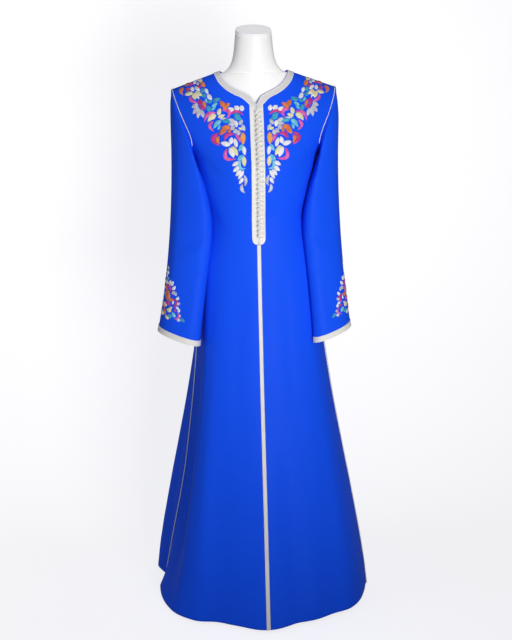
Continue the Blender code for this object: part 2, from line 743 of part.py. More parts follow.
def on_panel(panel, z, across):
    """A point of the panel at a height on its centre line, a share of the way across the first column, and its normal."""
    low, t = row_crossing(panel.rows, z)
    a = panel.rows[low][0].lerp(panel.rows[low][1], across)
    b = panel.rows[low + 1][0].lerp(panel.rows[low + 1][1], across)
    na = panel.normals[low][0].lerp(panel.normals[low][1], across)
    nb = panel.normals[low + 1][0].lerp(panel.normals[low + 1][1], across)
    return a.lerp(b, t), na.lerp(nb, t).normalized()


def placket_heights(panel):
    rows = [r[0].z for r in panel.rows[: -2]]
    inside = [z for z in rows if z > PLACKET_BOTTOM + 0.012]
    return [PLACKET_BOTTOM, PLACKET_BOTTOM + 0.0045] + inside


def placket_width_share(z):
    """The placket narrows to a round end over its lowest stretch."""
    rise = min(1.0, (z - PLACKET_BOTTOM) / PLACKET_HALF_WIDTH)
    return lerp(0.42, 1.0, math.sqrt(1 - (1 - rise) ** 2))


def add_placket(panel, side, collection):
    heights = placket_heights(panel)
    top = panel.rows[-2][0].z - SEAM_GAP
    heights.append(top)
    inner = [on_panel(panel, z, 0.0) for z in heights]
    outer = [on_panel(panel, z, placket_width_share(z)) for z in heights]
    if side == "left":
        inner = [(Vector((-p.x, p.y, p.z)), Vector((-n.x, n.y, n.z))) for p, n in inner]
        outer = [(Vector((-p.x, p.y, p.z)), Vector((-n.x, n.y, n.z))) for p, n in outer]
    strip(
        "placket_" + side,
        [p for p, _ in inner], [p for p, _ in outer],
        [n for _, n in inner], [n for _, n in outer],
        SEAM_GAP, BRAID, "braid", collection,
    )


def add_neck_braid(front, back, collection):
    """One length of braid on the neck edge, from one side of the slit round the back to the other."""
    def edges(panel):
        inner = [(panel.rows[-1][c], panel.normals[-1][c]) for c in range(NECK_COLUMNS + 2)]
        outer = [(panel.rows[-2][c], panel.normals[-2][c]) for c in range(NECK_COLUMNS + 1)]
        return inner, outer

    def middle(a, b):
        return (a[0] + b[0]) / 2, (a[1] + b[1]).normalized()

    front_inner, front_outer = edges(front)
    back_inner, back_outer = edges(back)
    neck_point = middle(front_inner[NECK_COLUMNS], back_inner[NECK_COLUMNS])
    seam_end = middle(front_inner[-1], back_inner[-1])
    inner = front_inner[:NECK_COLUMNS] + [neck_point] * 3 + back_inner[NECK_COLUMNS - 1::-1]
    outer = front_outer + [seam_end] + back_outer[::-1]
    lines = []
    for right in (inner, outer):
        left = [(Vector((-p.x, p.y, p.z)), Vector((-n.x, n.y, n.z))) for p, n in reversed(right[:-1])]
        lines.append(right + left)
    strip(
        "neck_braid",
        [p for p, _ in lines[0]], [p for p, _ in lines[1]],
        [n for _, n in lines[0]], [n for _, n in lines[1]],
        SEAM_GAP, BRAID, "braid", collection,
    )


def add_centre_braid(panel, collection):
    heights = [r[0].z for r in panel.rows if r[0].z < PLACKET_BOTTOM - 0.01] + [PLACKET_BOTTOM - SEAM_GAP]
    outer, inner = [], []
    for z in heights:
        edge_x = on_panel(panel, z, 1.0)[0].x
        p, n = on_panel(panel, z, CENTRE_BRAID_HALF_WIDTH / edge_x)
        middle, up = on_panel(panel, z, 0.0)
        middle = Vector((0, middle.y, middle.z))
        up = Vector((0, up.y, up.z)).normalized()
        right, left = (p, n), (Vector((-p.x, p.y, p.z)), Vector((-n.x, n.y, n.z)))
        line = [left, (middle, up), right]
        outer.append([q + m * (SEAM_GAP + BRAID) for q, m in line])
        inner.append([q + m * SEAM_GAP for q, m in line])
    wall("centre_braid", outer, inner, "braid", collection)


def add_side_cord(front, back, side, collection):
    """The cord sewn on a side seam, from under the arm to the hem."""
    path = []
    for r in range(len(SKIRT_ROWS)):
        middle = (front.rows[r][-1] + back.rows[r][-1]) / 2
        out = (front.normals[r][-1] + back.normals[r][-1]).normalized()
        path.append(middle + out * (SEAM_GAP * 1.5 + SEAM_CORD_RADIUS))
    if side == "left":
        path = [Vector((-p.x, p.y, p.z)) for p in path]
    path[0].z = HEM_HEIGHT
    tube("side_cord_" + side, path, SEAM_CORD_RADIUS, "cord", collection)


def add_armhole_cord(ring, side, collection):
    """The cord on the armhole seam, over the shoulder from the front of the underarm to the back of it."""
    half = len(ring) // 2
    order = list(range(half - 3, -1, -1)) + list(range(len(ring) - 1, half + 3, -1))
    path = []
    for k in order:
        point, normal = ring[k]
        path.append(point + normal * (SEAM_GAP + ARMHOLE_CORD_RADIUS))
    if side == "left":
        path = [Vector((-p.x, p.y, p.z)) for p in path]
    tube("armhole_cord_" + side, path, ARMHOLE_CORD_RADIUS, "cord", collection)


def add_sleeve(ring, side, hand, collection):
    rows, normals, inner = sleeve_parts(ring, hand)
    outer = rows
    last, before = rows[-1], rows[-2]
    low, high = [], []
    for k in range(len(last)):
        low.append(last[k] + normals[-1][k] * SEAM_GAP)
        high.append(before[k] + normals[-2][k] * SEAM_GAP)
    band_inner = [high, low]
    band_outer = [
        [p + n * BRAID for p, n in zip(high, normals[-2])],
        [p + n * BRAID for p, n in zip(low, normals[-1])],
    ]
    if side == "left":
        outer, inner, band_outer, band_inner = flip(outer), flip(inner), flip(band_outer), flip(band_inner)
    wall("sleeve_" + side, outer, inner, "cloth", collection, wrap=True)
    wall("cuff_braid_" + side, band_outer, band_inner, "braid", collection, wrap=True)


def centre_profile(panel, z):
    point, normal = on_panel(panel, z, 0.0)
    return Vector((0, point.y, point.z)), Vector((0, normal.y, normal.z)).normalized()


def button_places(panel):
    """Centres of the buttons, evenly spaced along the centre front, and the way each faces."""
    places = []
    z = TOP_BUTTON_HEIGHT
    for _ in range(BUTTON_COUNT):
        point, normal = centre_profile(panel, z)
        places.append((point, normal))
        z -= BUTTON_PITCH * math.hypot(normal.y, 0.0)
    return places


def add_buttons(panel, collection):
    lift = SEAM_GAP * 2 + BRAID + BUTTON_RADIUS
    for i, (point, normal) in enumerate(button_places(panel), start=1):
        bm = bmesh.new()
        bmesh.ops.create_uvsphere(bm, u_segments=6, v_segments=4, radius=BUTTON_RADIUS)
        mesh = bpy.data.meshes.new("button")
        bm.to_mesh(mesh)
        bm.free()
        button = add_object(f"button_{i:02d}", mesh, "cord", collection)
        button.location = point + normal * lift


def add_loops(panel, collection):
    """The cord that makes the buttons' loops, winding up the right side of the placket."""
    near, far = BUTTON_RADIUS + 0.0004, 0.0125
    lift = SEAM_GAP * 2 + BRAID + LOOP_CORD_RADIUS
    path = []
    for point, _ in button_places(panel):
        for x, rise in ((far, 0.0046), (near, 0.0020), (near, -0.0020), (far, -0.0046)):
            z = point.z + rise
            edge_x = on_panel(panel, z, 1.0)[0].x
            place, normal = on_panel(panel, z, min(0.9, x / edge_x))
            path.append(place + normal * lift)
    tube("button_loops", path, LOOP_CORD_RADIUS, "cord", collection, resolution=0)


def form_ring(z, half_width, share_of_end):
    """A ring of the form: the kaftan's own cross-section moved in, closed at the given half width."""
    sink = (CLOTH + FORM_CLEARANCE) * math.hypot(1, SHOULDER_SLOPE)
    points = []
    for i in range(FORM_SIDES):
        turn = 2 * math.pi * i / FORM_SIDES
        x = half_width * math.sin(turn)
        side = "front" if math.cos(turn) > 0 else "back"
        width = section("half_width", z) - CLOTH
        reach = max(0.0, 1 - (abs(x) / width) ** SECTION_POWER) ** (1 / SECTION_POWER)
        drop = max(0.0, shoulder_height(x) - sink - z)
        bulge = math.sin(min(1.0, run_of(drop) / SHOULDER_ROUND_LENGTH) * math.pi / 2)
        end = (1 - min(1.0, abs(x) / half_width) ** 8) ** (0.5 * share_of_end) if share_of_end else 1.0
        y = (section(side, z) - CLOTH) * FORM_DEPTH_SHARE * reach * bulge * end
        base = NECK_BASE_FRONT if side == "front" else NECK_BASE_BACK
        neck = base * math.sqrt(max(0.0, 1 - (x / NECK_BASE_HALF_WIDTH) ** 2))
        y = (y ** 4 + (neck * smooth((z - 1.36) / 0.06)) ** 4) ** 0.25
        points.append(Vector((x, -y if side == "front" else y, z)))
    return points


def oval_ring(z, half_width, front, back, lean=0.0, power=1.0, tilt=0.0):
    points = []
    for i in range(FORM_SIDES):
        turn = 2 * math.pi * i / FORM_SIDES
        depth = front if math.cos(turn) > 0 else back
        x = half_width * signed_power(math.sin(turn), power)
        y = -depth * signed_power(math.cos(turn), power)
        points.append(Vector((x, y + lean, z + y * math.tan(tilt))))
    return points


def form_rings():
    rings = []
    for entry in FORM_RINGS:
        if entry.front:
            rings.append(oval_ring(entry.z, entry.half_width, entry.front, entry.back, power=2 / SECTION_POWER))
        else:
            share = 1 - smooth((entry.z - 1.400) / 0.045)
            rings.append(form_ring(entry.z, entry.half_width, share))
    sink = (CLOTH + FORM_CLEARANCE) * math.hypot(1, SHOULDER_SLOPE)
    for half_width in FORM_RIDGE_HALF_WIDTHS:
        rings.append(form_ring(shoulder_height(half_width) - sink, half_width, 0.0))
    for entry in NECK_RINGS:
        share = smooth((entry.z - 1.49) / (NECK_TOP - 1.49))
        rings.append(oval_ring(
            entry.z, entry.half_width, entry.depth, entry.depth, entry.lean, entry.power, NECK_TILT * share))
    return rings


def add_form(collection):
    lofted_solid("form_torso", form_rings(), "form", collection)
    top = NECK_RINGS[-1]
    low = oval_ring(top.z + SEAM_GAP, top.half_width, top.depth, top.depth, top.lean, tilt=NECK_TILT)
    high = [p + Vector((0, 0, CAP_THICKNESS)) for p in low]
    middle = sum(high, Vector()) / len(high)
    crown = [middle + (p - middle) * 0.93 + Vector((0, 0, 0.0015)) for p in high]
    lofted_solid("form_neck_cap", [low, high, crown], "form_cap", collection)


def add_disc(name, radius, low, high, sides, finish, collection, edge=0.0):
    """A round plate or pole between two heights, with a small bevel round its upper edge if asked."""
    bm = bmesh.new()
    bmesh.ops.create_cone(
        bm, cap_ends=True, segments=sides, radius1=radius, radius2=radius, depth=high - low)
    if edge:
        rim = [e for e in bm.edges if all(v.co.z > 0 for v in e.verts)]
        bmesh.ops.bevel(bm, geom=rim, offset=edge, segments=1, affect="EDGES")
    mesh = bpy.data.meshes.new(name)
    bm.to_mesh(mesh)
    bm.free()
    obj = add_object(name, mesh, finish, collection)
    obj.location.z = (low + high) / 2


def add_stand(collection):
    """Round base, the pole on it, and the flange that carries the form."""
    flange_top = FORM_BOTTOM - SEAM_GAP
    flange_foot = flange_top - FLANGE_THICKNESS
    add_disc("stand_base", BASE_RADIUS, 0.0, BASE_THICKNESS, 40, "stand", collection, edge=0.0015)
    add_disc("stand_pole", POLE_RADIUS, BASE_THICKNESS + SEAM_GAP, flange_foot - SEAM_GAP, 16, "stand", collection)
    add_disc("stand_flange", FLANGE_RADIUS, flange_foot, flange_top, 24, "stand", collection, edge=0.0015)


def main():
    clear_scene()
    collection = bpy.data.collections.new("kaftan_on_dress_form")
    bpy.context.scene.collection.children.link(collection)
    front_right, back_right = body_panels(1)
    front_left, back_left = body_panels(-1)
    mirror = front_left.mirrored()
    wall("front_right", front_right.rows, front_right.inner, "cloth", collection)
    wall("front_left", mirror.rows, mirror.inner, "cloth", collection)
    outer, inner = joined_back(back_right, back_left.mirrored())
    wall("back", outer, inner, "cloth", collection)
    halves = (("right", 1, front_right, back_right), ("left", -1, front_left, back_left))
    for side, hand, front, back in halves:
        ring = armhole_ring(front, back)
        add_sleeve(ring, side, hand, collection)
        add_placket(front, side, collection)
        add_side_cord(front, back, side, collection)
        add_armhole_cord(ring, side, collection)
    add_neck_braid(front_right, back_right, collection)
    add_centre_braid(front_right, collection)
    add_buttons(front_right, collection)
    add_loops(front_right, collection)
    add_form(collection)
    add_stand(collection)


main()
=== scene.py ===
"""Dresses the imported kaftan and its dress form: cloth, braids, cords, buttons, embroidery, stage and camera.

Metres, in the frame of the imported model: +Z up, floor at z = 0, the front faces -Y. Left is the -X side.
"""

import math
from collections import namedtuple

import bmesh
import bpy
from bpy.props import FloatProperty, FloatVectorProperty, PointerProperty
from mathutils import Matrix, Vector
from mathutils.bvhtree import BVHTree


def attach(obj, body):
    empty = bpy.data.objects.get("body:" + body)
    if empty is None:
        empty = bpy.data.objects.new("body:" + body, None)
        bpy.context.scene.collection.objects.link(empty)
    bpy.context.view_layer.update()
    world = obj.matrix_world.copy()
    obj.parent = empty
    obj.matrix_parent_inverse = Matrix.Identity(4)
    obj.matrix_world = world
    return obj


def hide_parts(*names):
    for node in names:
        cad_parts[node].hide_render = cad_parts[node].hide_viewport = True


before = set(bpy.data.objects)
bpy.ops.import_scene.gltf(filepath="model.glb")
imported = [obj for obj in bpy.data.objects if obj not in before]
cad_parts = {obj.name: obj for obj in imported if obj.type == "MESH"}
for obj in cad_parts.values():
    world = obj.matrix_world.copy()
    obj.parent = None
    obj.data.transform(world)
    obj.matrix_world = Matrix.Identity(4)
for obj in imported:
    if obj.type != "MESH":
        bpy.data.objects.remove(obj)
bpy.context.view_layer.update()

bl_info = {
    "name": "Kaftan on a dress form",
    "version": (1, 0, 0),
    "blender": (4, 5, 0),
    "location": "3D View > Sidebar > Kaftan",
    "description": "Builds the kaftan's cloth, trims, embroidery and dress form over the packed part",
    "category": "Object",
}

# Sizes repeated from the part's source, so that the fine cloth lies where the solids lie
HEM_HEIGHT = 0.010
UNDERARM_HEIGHT = 1.250
YOKE_HEIGHT = 1.150
SEAM_GAP = 0.0003
SEAM_RUN = 0.00025
SECTION_POWER = 2.2
SHOULDER_SLOPE = 0.354
SHOULDER_ROUND_HEIGHT = 0.110
SHOULDER_ROUND_LENGTH = 0.143
NECK_HALF_WIDTH = 0.089
NECK_POINT_HEIGHT = 1.4673
NECK_BRAID_WIDTH = 0.016
PLACKET_HALF_WIDTH = 0.0175
PLACKET_BOTTOM = 1.026
CENTRE_BRAID_HALF_WIDTH = 0.0042
CUFF_BRAID_HALF_WIDTH = 0.0075
BUTTON_COUNT = 27
BUTTON_PITCH = 0.0124
TOP_BUTTON_HEIGHT = 1.363
NECK_COLUMNS = 7
COLUMNS = 15

Section = namedtuple("Section", "z half_width front back")
BODY_SECTIONS = [
    Section(0.010, 0.3040, 0.2400, 0.2650),
    Section(0.089, 0.2960, 0.2320, 0.2560),
    Section(0.292, 0.2620, 0.2050, 0.2280),
    Section(0.427, 0.2360, 0.1840, 0.2050),
    Section(0.577, 0.2080, 0.1600, 0.1820),
    Section(0.743, 0.1820, 0.1370, 0.1580),
    Section(0.870, 0.1660, 0.1210, 0.1400),
    Section(0.980, 0.1490, 0.1110, 0.1150),
    Section(1.085, 0.1300, 0.1060, 0.0930),
    Section(1.150, 0.1400, 0.1170, 0.0980),
    Section(1.225, 0.1550, 0.1250, 0.1040),
    Section(1.250, 0.1615, 0.1195, 0.1035),
    Section(1.300, 0.1860, 0.1050, 0.0985),
    Section(1.350, 0.2110, 0.0880, 0.0890),
    Section(1.400, 0.2340, 0.0725, 0.0750),
    Section(1.430, 0.2440, 0.0640, 0.0660),
    Section(1.470, 0.2500, 0.0580, 0.0600),
]

Fold = namedtuple("Fold", "angle half_width height top foot")
FOLDS = [
    Fold(0, 16, 0.026, 0.60, 1.0),
    Fold(-25, 13, -0.012, 0.55, 1.0),
    Fold(-54, 12, 0.008, 1.05, 0.2),
    Fold(-80, 44, -0.104, 0.96, 0.14),
    Fold(-108, 13, -0.014, 0.25, 1.0),
    Fold(-124, 15, 0.049, 0.98, 1.0),
    Fold(-146, 12, -0.012, 0.90, 1.0),
    Fold(-163, 12, 0.012, 0.85, 1.0),
    Fold(36, 14, -0.007, 0.55, 1.0),
    Fold(48, 12, 0.006, 1.05, 0.3),
    Fold(74, 20, -0.010, 1.05, 0.5),
    Fold(97, 15, 0.003, 1.04, 1.0),
    Fold(97, 14, 0.006, 0.12, 1.0),
    Fold(136, 13, -0.012, 0.90, 1.0),
    Fold(158, 13, 0.014, 0.85, 1.0),
    Fold(180, 8, -0.010, 0.80, 1.0),
]
# Degrees that each side seam has swung towards the back: in the skirt, and further at the hem
SIDE_SEAM_SWING = {1: (-3, 0), -1: (9, 6)}
SKIRT_ROWS = [0.010, 0.089, 0.190, 0.292, 0.427, 0.577, 0.743, 0.870, 0.980, 1.035, 1.092, 1.150]
YOKE_SIDE_ROWS = [1.183, 1.217]

# (x, z) of the neck's front edge, its back edge and the foot of its braid at the slit
FRONT_NECK = [
    (0.0002, 1.3840), (0.0125, 1.4040), (0.0280, 1.4125), (0.0480, 1.4215),
    (0.0670, 1.4335), (0.0800, 1.4470), (0.0865, 1.4590), (0.0890, 1.4673),
]
BACK_NECK = [
    (0.0000, 1.4500), (0.0150, 1.4503), (0.0300, 1.4513), (0.0450, 1.4530),
    (0.0590, 1.4558), (0.0725, 1.4598), (0.0832, 1.4645), (0.0890, 1.4673),
]
SLIT_BRAID_FOOT = [(0.0002, 1.3700), (0.0175, 1.3830)]
# (z, x) of the armhole edge from the underarm up
ARMHOLE = [
    (1.2500, 0.1615), (1.2535, 0.1622), (1.2640, 0.1643), (1.2800, 0.1645), (1.3020, 0.1680),
    (1.3290, 0.1785), (1.3570, 0.1905), (1.3830, 0.2005), (1.4040, 0.2075), (1.4205, 0.2119),
    (1.4236, 0.2125),
]

SleeveRing = namedtuple("SleeveRing", "outer_x outer_z inner_x inner_z half_depth centre_y swing")
SLEEVE_RINGS = [
    SleeveRing(0.2125, 1.4236, 0.1615, 1.2500, 0.0560, 0.000, 0),
    SleeveRing(0.2165, 1.4090, 0.1680, 1.2500, 0.0580, -0.002, 8),
    SleeveRing(0.2190, 1.3880, 0.1560, 1.2280, 0.0590, -0.005, 24),
    SleeveRing(0.2200, 1.3500, 0.1420, 1.2000, 0.0590, -0.008, 36),
    SleeveRing(0.2200, 1.3050, 0.1310, 1.1670, 0.0575, -0.012, 42),
    SleeveRing(0.2200, 1.2550, 0.1230, 1.1300, 0.0555, -0.017, 43),
    SleeveRing(0.2210, 1.2000, 0.1180, 1.0900, 0.0540, -0.022, 42),
    SleeveRing(0.2230, 1.1400, 0.1180, 1.0440, 0.0530, -0.028, 40),
    SleeveRing(0.2265, 1.0750, 0.1230, 0.9960, 0.0520, -0.034, 37),
    SleeveRing(0.2315, 1.0080, 0.1300, 0.9440, 0.0520, -0.041, 34),
    SleeveRing(0.2385, 0.9380, 0.1370, 0.8880, 0.0525, -0.048, 31),
    SleeveRing(0.2475, 0.8700, 0.1435, 0.8280, 0.0530, -0.054, 28),
    SleeveRing(0.2580, 0.8050, 0.1485, 0.7720, 0.0545, -0.058, 25),
    SleeveRing(0.2610, 0.7900, 0.1495, 0.7570, 0.0550, -0.059, 25),
]
SLEEVE_FADE_RINGS = 5
SLEEVE_CLEARANCE = 0.0028
SIDE_CORD_ROOM = 0.0035
SLEEVE_TURN = 0.004
SLEEVE_POWER = 2.4
SLEEVE_OUT = {1: (0.006, -0.009), -1: (0.0, 0.010)}

Crease = namedtuple("Crease", "x1 z1 x2 z2 half_width height")
# Soft ridges (+) and troughs (-) of the body's cloth, in a front or back view, each from point to point
FRONT_CREASES = [
    Crease(0.150, 1.262, 0.098, 1.205, 0.011, -0.0022),
    Crease(0.156, 1.236, 0.112, 1.160, 0.009, 0.0016),
    Crease(-0.152, 1.258, -0.090, 1.196, 0.012, -0.0026),
    Crease(-0.158, 1.228, -0.120, 1.138, 0.010, 0.0018),
    Crease(0.128, 1.130, 0.092, 1.060, 0.012, -0.0015),
    Crease(-0.122, 1.120, -0.084, 1.040, 0.014, -0.0018),
    Crease(0.118, 1.080, 0.150, 0.780, 0.014, 0.0035),
    Crease(-0.120, 1.060, -0.148, 0.740, 0.016, 0.0030),
    Crease(0.062, 0.980, 0.084, 0.560, 0.022, -0.0022),
    Crease(-0.050, 0.940, -0.072, 0.500, 0.024, -0.0024),
    Crease(0.118, 0.700, 0.172, 0.140, 0.026, 0.0030),
    Crease(-0.128, 0.660, -0.182, 0.120, 0.024, 0.0034),
    Crease(-0.030, 0.420, -0.046, 0.040, 0.022, -0.0026),
    Crease(0.052, 0.460, 0.080, 0.030, 0.024, -0.0030),
]
BACK_CREASES = [
    Crease(0.110, 1.128, 0.030, 1.104, 0.010, 0.0026),
    Crease(0.112, 1.092, 0.020, 1.072, 0.009, -0.0020),
    Crease(-0.108, 1.136, -0.024, 1.112, 0.011, 0.0022),
    Crease(-0.114, 1.100, -0.010, 1.084, 0.009, -0.0022),
    Crease(-0.100, 1.060, 0.006, 1.046, 0.012, 0.0018),
    Crease(0.148, 1.262, 0.070, 1.330, 0.014, -0.0024),
    Crease(-0.146, 1.258, -0.076, 1.318, 0.013, -0.0022),
    Crease(0.040, 1.000, 0.058, 0.540, 0.022, 0.0034),
    Crease(-0.030, 0.960, -0.052, 0.420, 0.024, 0.0030),
    Crease(0.096, 0.900, 0.130, 0.380, 0.020, -0.0026),
    Crease(-0.104, 0.880, -0.126, 0.300, 0.022, -0.0030),
    Crease(0.004, 0.760, 0.010, 0.100, 0.024, -0.0028),
]
SleeveCrease = namedtuple("SleeveCrease", "turn1 down1 turn2 down2 half_width height")
# The same for a sleeve: twentieths of a turn from its outer line towards the front, and metres down
SLEEVE_CREASES = [
    SleeveCrease(7.5, 0.115, 5.0, 0.160, 0.010, -0.0020),
    SleeveCrease(8.0, 0.150, 5.6, 0.205, 0.009, 0.0018),
    SleeveCrease(3.0, 0.090, 2.6, 0.560, 0.016, 0.0018),
    SleeveCrease(6.6, 0.270, 4.2, 0.330, 0.011, -0.0022),
    SleeveCrease(7.0, 0.300, 4.0, 0.365, 0.010, 0.0020),
    SleeveCrease(7.4, 0.350, 4.8, 0.395, 0.012, -0.0022),
    SleeveCrease(5.2, 0.420, 4.6, 0.600, 0.016, -0.0020),
    SleeveCrease(14.0, 0.260, 17.0, 0.310, 0.012, -0.0024),
    SleeveCrease(13.6, 0.300, 17.4, 0.350, 0.011, 0.0022),
    SleeveCrease(14.4, 0.345, 16.8, 0.400, 0.012, -0.0020),
    SleeveCrease(16.5, 0.090, 16.0, 0.240, 0.014, -0.0022),
    SleeveCrease(12.2, 0.060, 12.7, 0.155, 0.016, 0.0042),
]

Stitch = namedtuple("Stitch", "thread base middle tip width")
# Each leaf of the embroidery on the +X side, in millimetres seen from the front: its thread, the x and z of
# its base, of a point on its middle line and of its tip, and its width
CHEST = [
    ("silver", 149, 1443, 153, 1445, 156, 1444, 7.7), ("silver", 147, 1443, 147, 1447, 146, 1447, 7.1),
    ("cream", 146, 1443, 140, 1447, 135, 1450, 7.7), ("white", 151, 1442, 155, 1440, 159, 1437, 7.1),
    ("silver", 146, 1441, 147, 1437, 148, 1433, 7.7), ("cream", 144, 1443, 139, 1444, 134, 1445, 5.8),
    ("orange", 168, 1439, 174, 1437, 180, 1433, 9.7), ("orange", 172, 1438, 178, 1436, 184, 1434, 6.5),
    ("orange", 182, 1427, 191, 1419, 185, 1409, 9), ("orange", 139, 1442, 134, 1435, 128, 1428, 10.8),
    ("magenta", 172, 1430, 165, 1437, 155, 1433, 6.4), ("magenta", 172, 1428, 174, 1422, 176, 1416, 7),
    ("magenta", 151, 1431, 144, 1429, 138, 1427, 5.7), ("white", 159, 1418, 161, 1424, 162, 1430, 9.6),
    ("white", 155, 1430, 148, 1424, 141, 1419, 8.3), ("cream", 160, 1415, 171, 1412, 182, 1409, 9),
    ("cream", 155, 1418, 145, 1412, 136, 1407, 9.5), ("cream", 157, 1415, 156, 1406, 154, 1397, 13.4),
    ("white", 152, 1409, 148, 1404, 145, 1398, 5.7), ("teal", 133, 1427, 135, 1420, 136, 1413, 9.5),
    ("white", 128, 1425, 125, 1418, 121, 1411, 8.3), ("teal", 128, 1412, 132, 1407, 137, 1403, 9.5),
    ("white", 123, 1411, 118, 1403, 112, 1396, 10.8), ("cyan", 129, 1401, 127, 1395, 125, 1389, 6.3),
    ("teal", 111, 1395, 118, 1392, 125, 1389, 8.2), ("pink", 168, 1407, 164, 1395, 148, 1390, 7.9),
    ("magenta", 141, 1399, 143, 1390, 145, 1381, 10.1), ("magenta", 143, 1381, 136, 1377, 130, 1372, 9.5),
    ("orange", 134, 1394, 132, 1385, 129, 1376, 8.9), ("silver", 148, 1387, 157, 1382, 165, 1377, 8.9),
    ("silver", 147, 1382, 155, 1371, 162, 1361, 9.5), ("silver", 145, 1377, 148, 1364, 150, 1350, 10.1),
    ("silver", 141, 1373, 138, 1362, 134, 1352, 10.7), ("teal", 111, 1392, 101, 1396, 90, 1400, 10.1),
    ("cyan", 114, 1379, 106, 1384, 98, 1388, 7.6), ("teal", 123, 1383, 121, 1374, 118, 1365, 10.7),
    ("cyan", 116, 1370, 109, 1375, 103, 1379, 6.1), ("orange", 80, 1377, 86, 1386, 92, 1394, 11.4),
    ("orange", 81, 1378, 74, 1383, 67, 1388, 8.8), ("orange", 79, 1382, 80, 1376, 80, 1370, 10.7),
    ("white", 56, 1367, 64, 1372, 73, 1376, 9.8), ("white", 45, 1369, 50, 1375, 56, 1381, 13.2),
    ("white", 36, 1367, 37, 1375, 38, 1383, 11.1), ("magenta", 67, 1359, 51, 1368, 33, 1356, 7.3),
    ("teal", 59, 1359, 50, 1358, 41, 1356, 10.1), ("teal", 58, 1353, 47, 1350, 36, 1346, 9.4),
    ("pink", 89, 1370, 70, 1367, 76, 1349, 9.1), ("pink", 102, 1364, 124, 1360, 133, 1340, 8.3),
    ("cream", 102, 1357, 114, 1354, 125, 1341, 13.2), ("cream", 98, 1358, 95, 1367, 91, 1376, 10.1),
    ("cream", 99, 1353, 90, 1356, 80, 1359, 7.8), ("silver", 96, 1350, 85, 1350, 75, 1350, 5.3),
    ("teal", 90, 1344, 76, 1344, 62, 1338, 10.7), ("cyan", 90, 1344, 101, 1338, 111, 1324, 10.7),
    ("cyan", 94, 1335, 97, 1328, 100, 1321, 7.3), ("pink", 109, 1344, 120, 1331, 108, 1317, 7.8),
    ("silver", 55, 1342, 65, 1345, 74, 1348, 9.7), ("silver", 56, 1337, 65, 1336, 74, 1335, 8.4),
    ("white", 54, 1345, 53, 1336, 52, 1327, 10), ("silver", 57, 1331, 63, 1326, 68, 1322, 10),
    ("silver", 51, 1323, 56, 1318, 61, 1313, 9.3), ("silver", 46, 1321, 48, 1314, 49, 1306, 10.3),
    ("silver", 46, 1334, 41, 1340, 35, 1346, 9.3), ("silver", 38, 1335, 35, 1327, 31, 1318, 9),
    ("cream", 48, 1326, 41, 1324, 33, 1322, 6.4), ("orange", 68, 1329, 79, 1328, 90, 1328, 10.1),
    ("orange", 76, 1328, 86, 1320, 95, 1308, 12.2), ("orange", 69, 1325, 71, 1319, 73, 1314, 7.5),
    ("orange", 96, 1306, 102, 1297, 95, 1286, 9.3), ("magenta", 95, 1314, 113, 1299, 94, 1281, 10),
    ("magenta", 84, 1295, 75, 1310, 57, 1309, 9), ("pink", 57, 1310, 49, 1303, 44, 1289, 7.4),
    ("amber", 36, 1316, 37, 1300, 37, 1284, 12.6), ("white", 69, 1284, 82, 1287, 94, 1290, 11.8),
    ("white", 70, 1285, 67, 1295, 65, 1304, 10.5), ("white", 53, 1278, 56, 1290, 59, 1302, 10),
    ("cream", 66, 1282, 58, 1269, 51, 1256, 11.8), ("white", 71, 1279, 66, 1266, 62, 1252, 13.8),
    ("pink", 76, 1278, 82, 1252, 54, 1250, 9.5), ("cyan", 38, 1286, 43, 1277, 49, 1268, 9.2),
    ("white", 36, 1282, 35, 1270, 33, 1258, 10), ("cyan", 36, 1259, 45, 1252, 53, 1246, 10),
    ("cyan", 44, 1252, 47, 1229, 31, 1226, 7.9), ("cream", 36, 1257, 36, 1243, 35, 1230, 11.3),
    ("white", 49, 1243, 58, 1237, 67, 1232, 9.7), ("white", 48, 1232, 56, 1224, 65, 1217, 9.7),
    ("white", 44, 1222, 51, 1214, 58, 1206, 9.7), ("white", 37, 1221, 45, 1209, 52, 1197, 9.2),
    ("white", 39, 1202, 44, 1194, 50, 1185, 8.7), ("silver", 38, 1210, 32, 1194, 37, 1180, 7.4),
    ("silver", 41, 1186, 43, 1172, 34, 1162, 8),
]
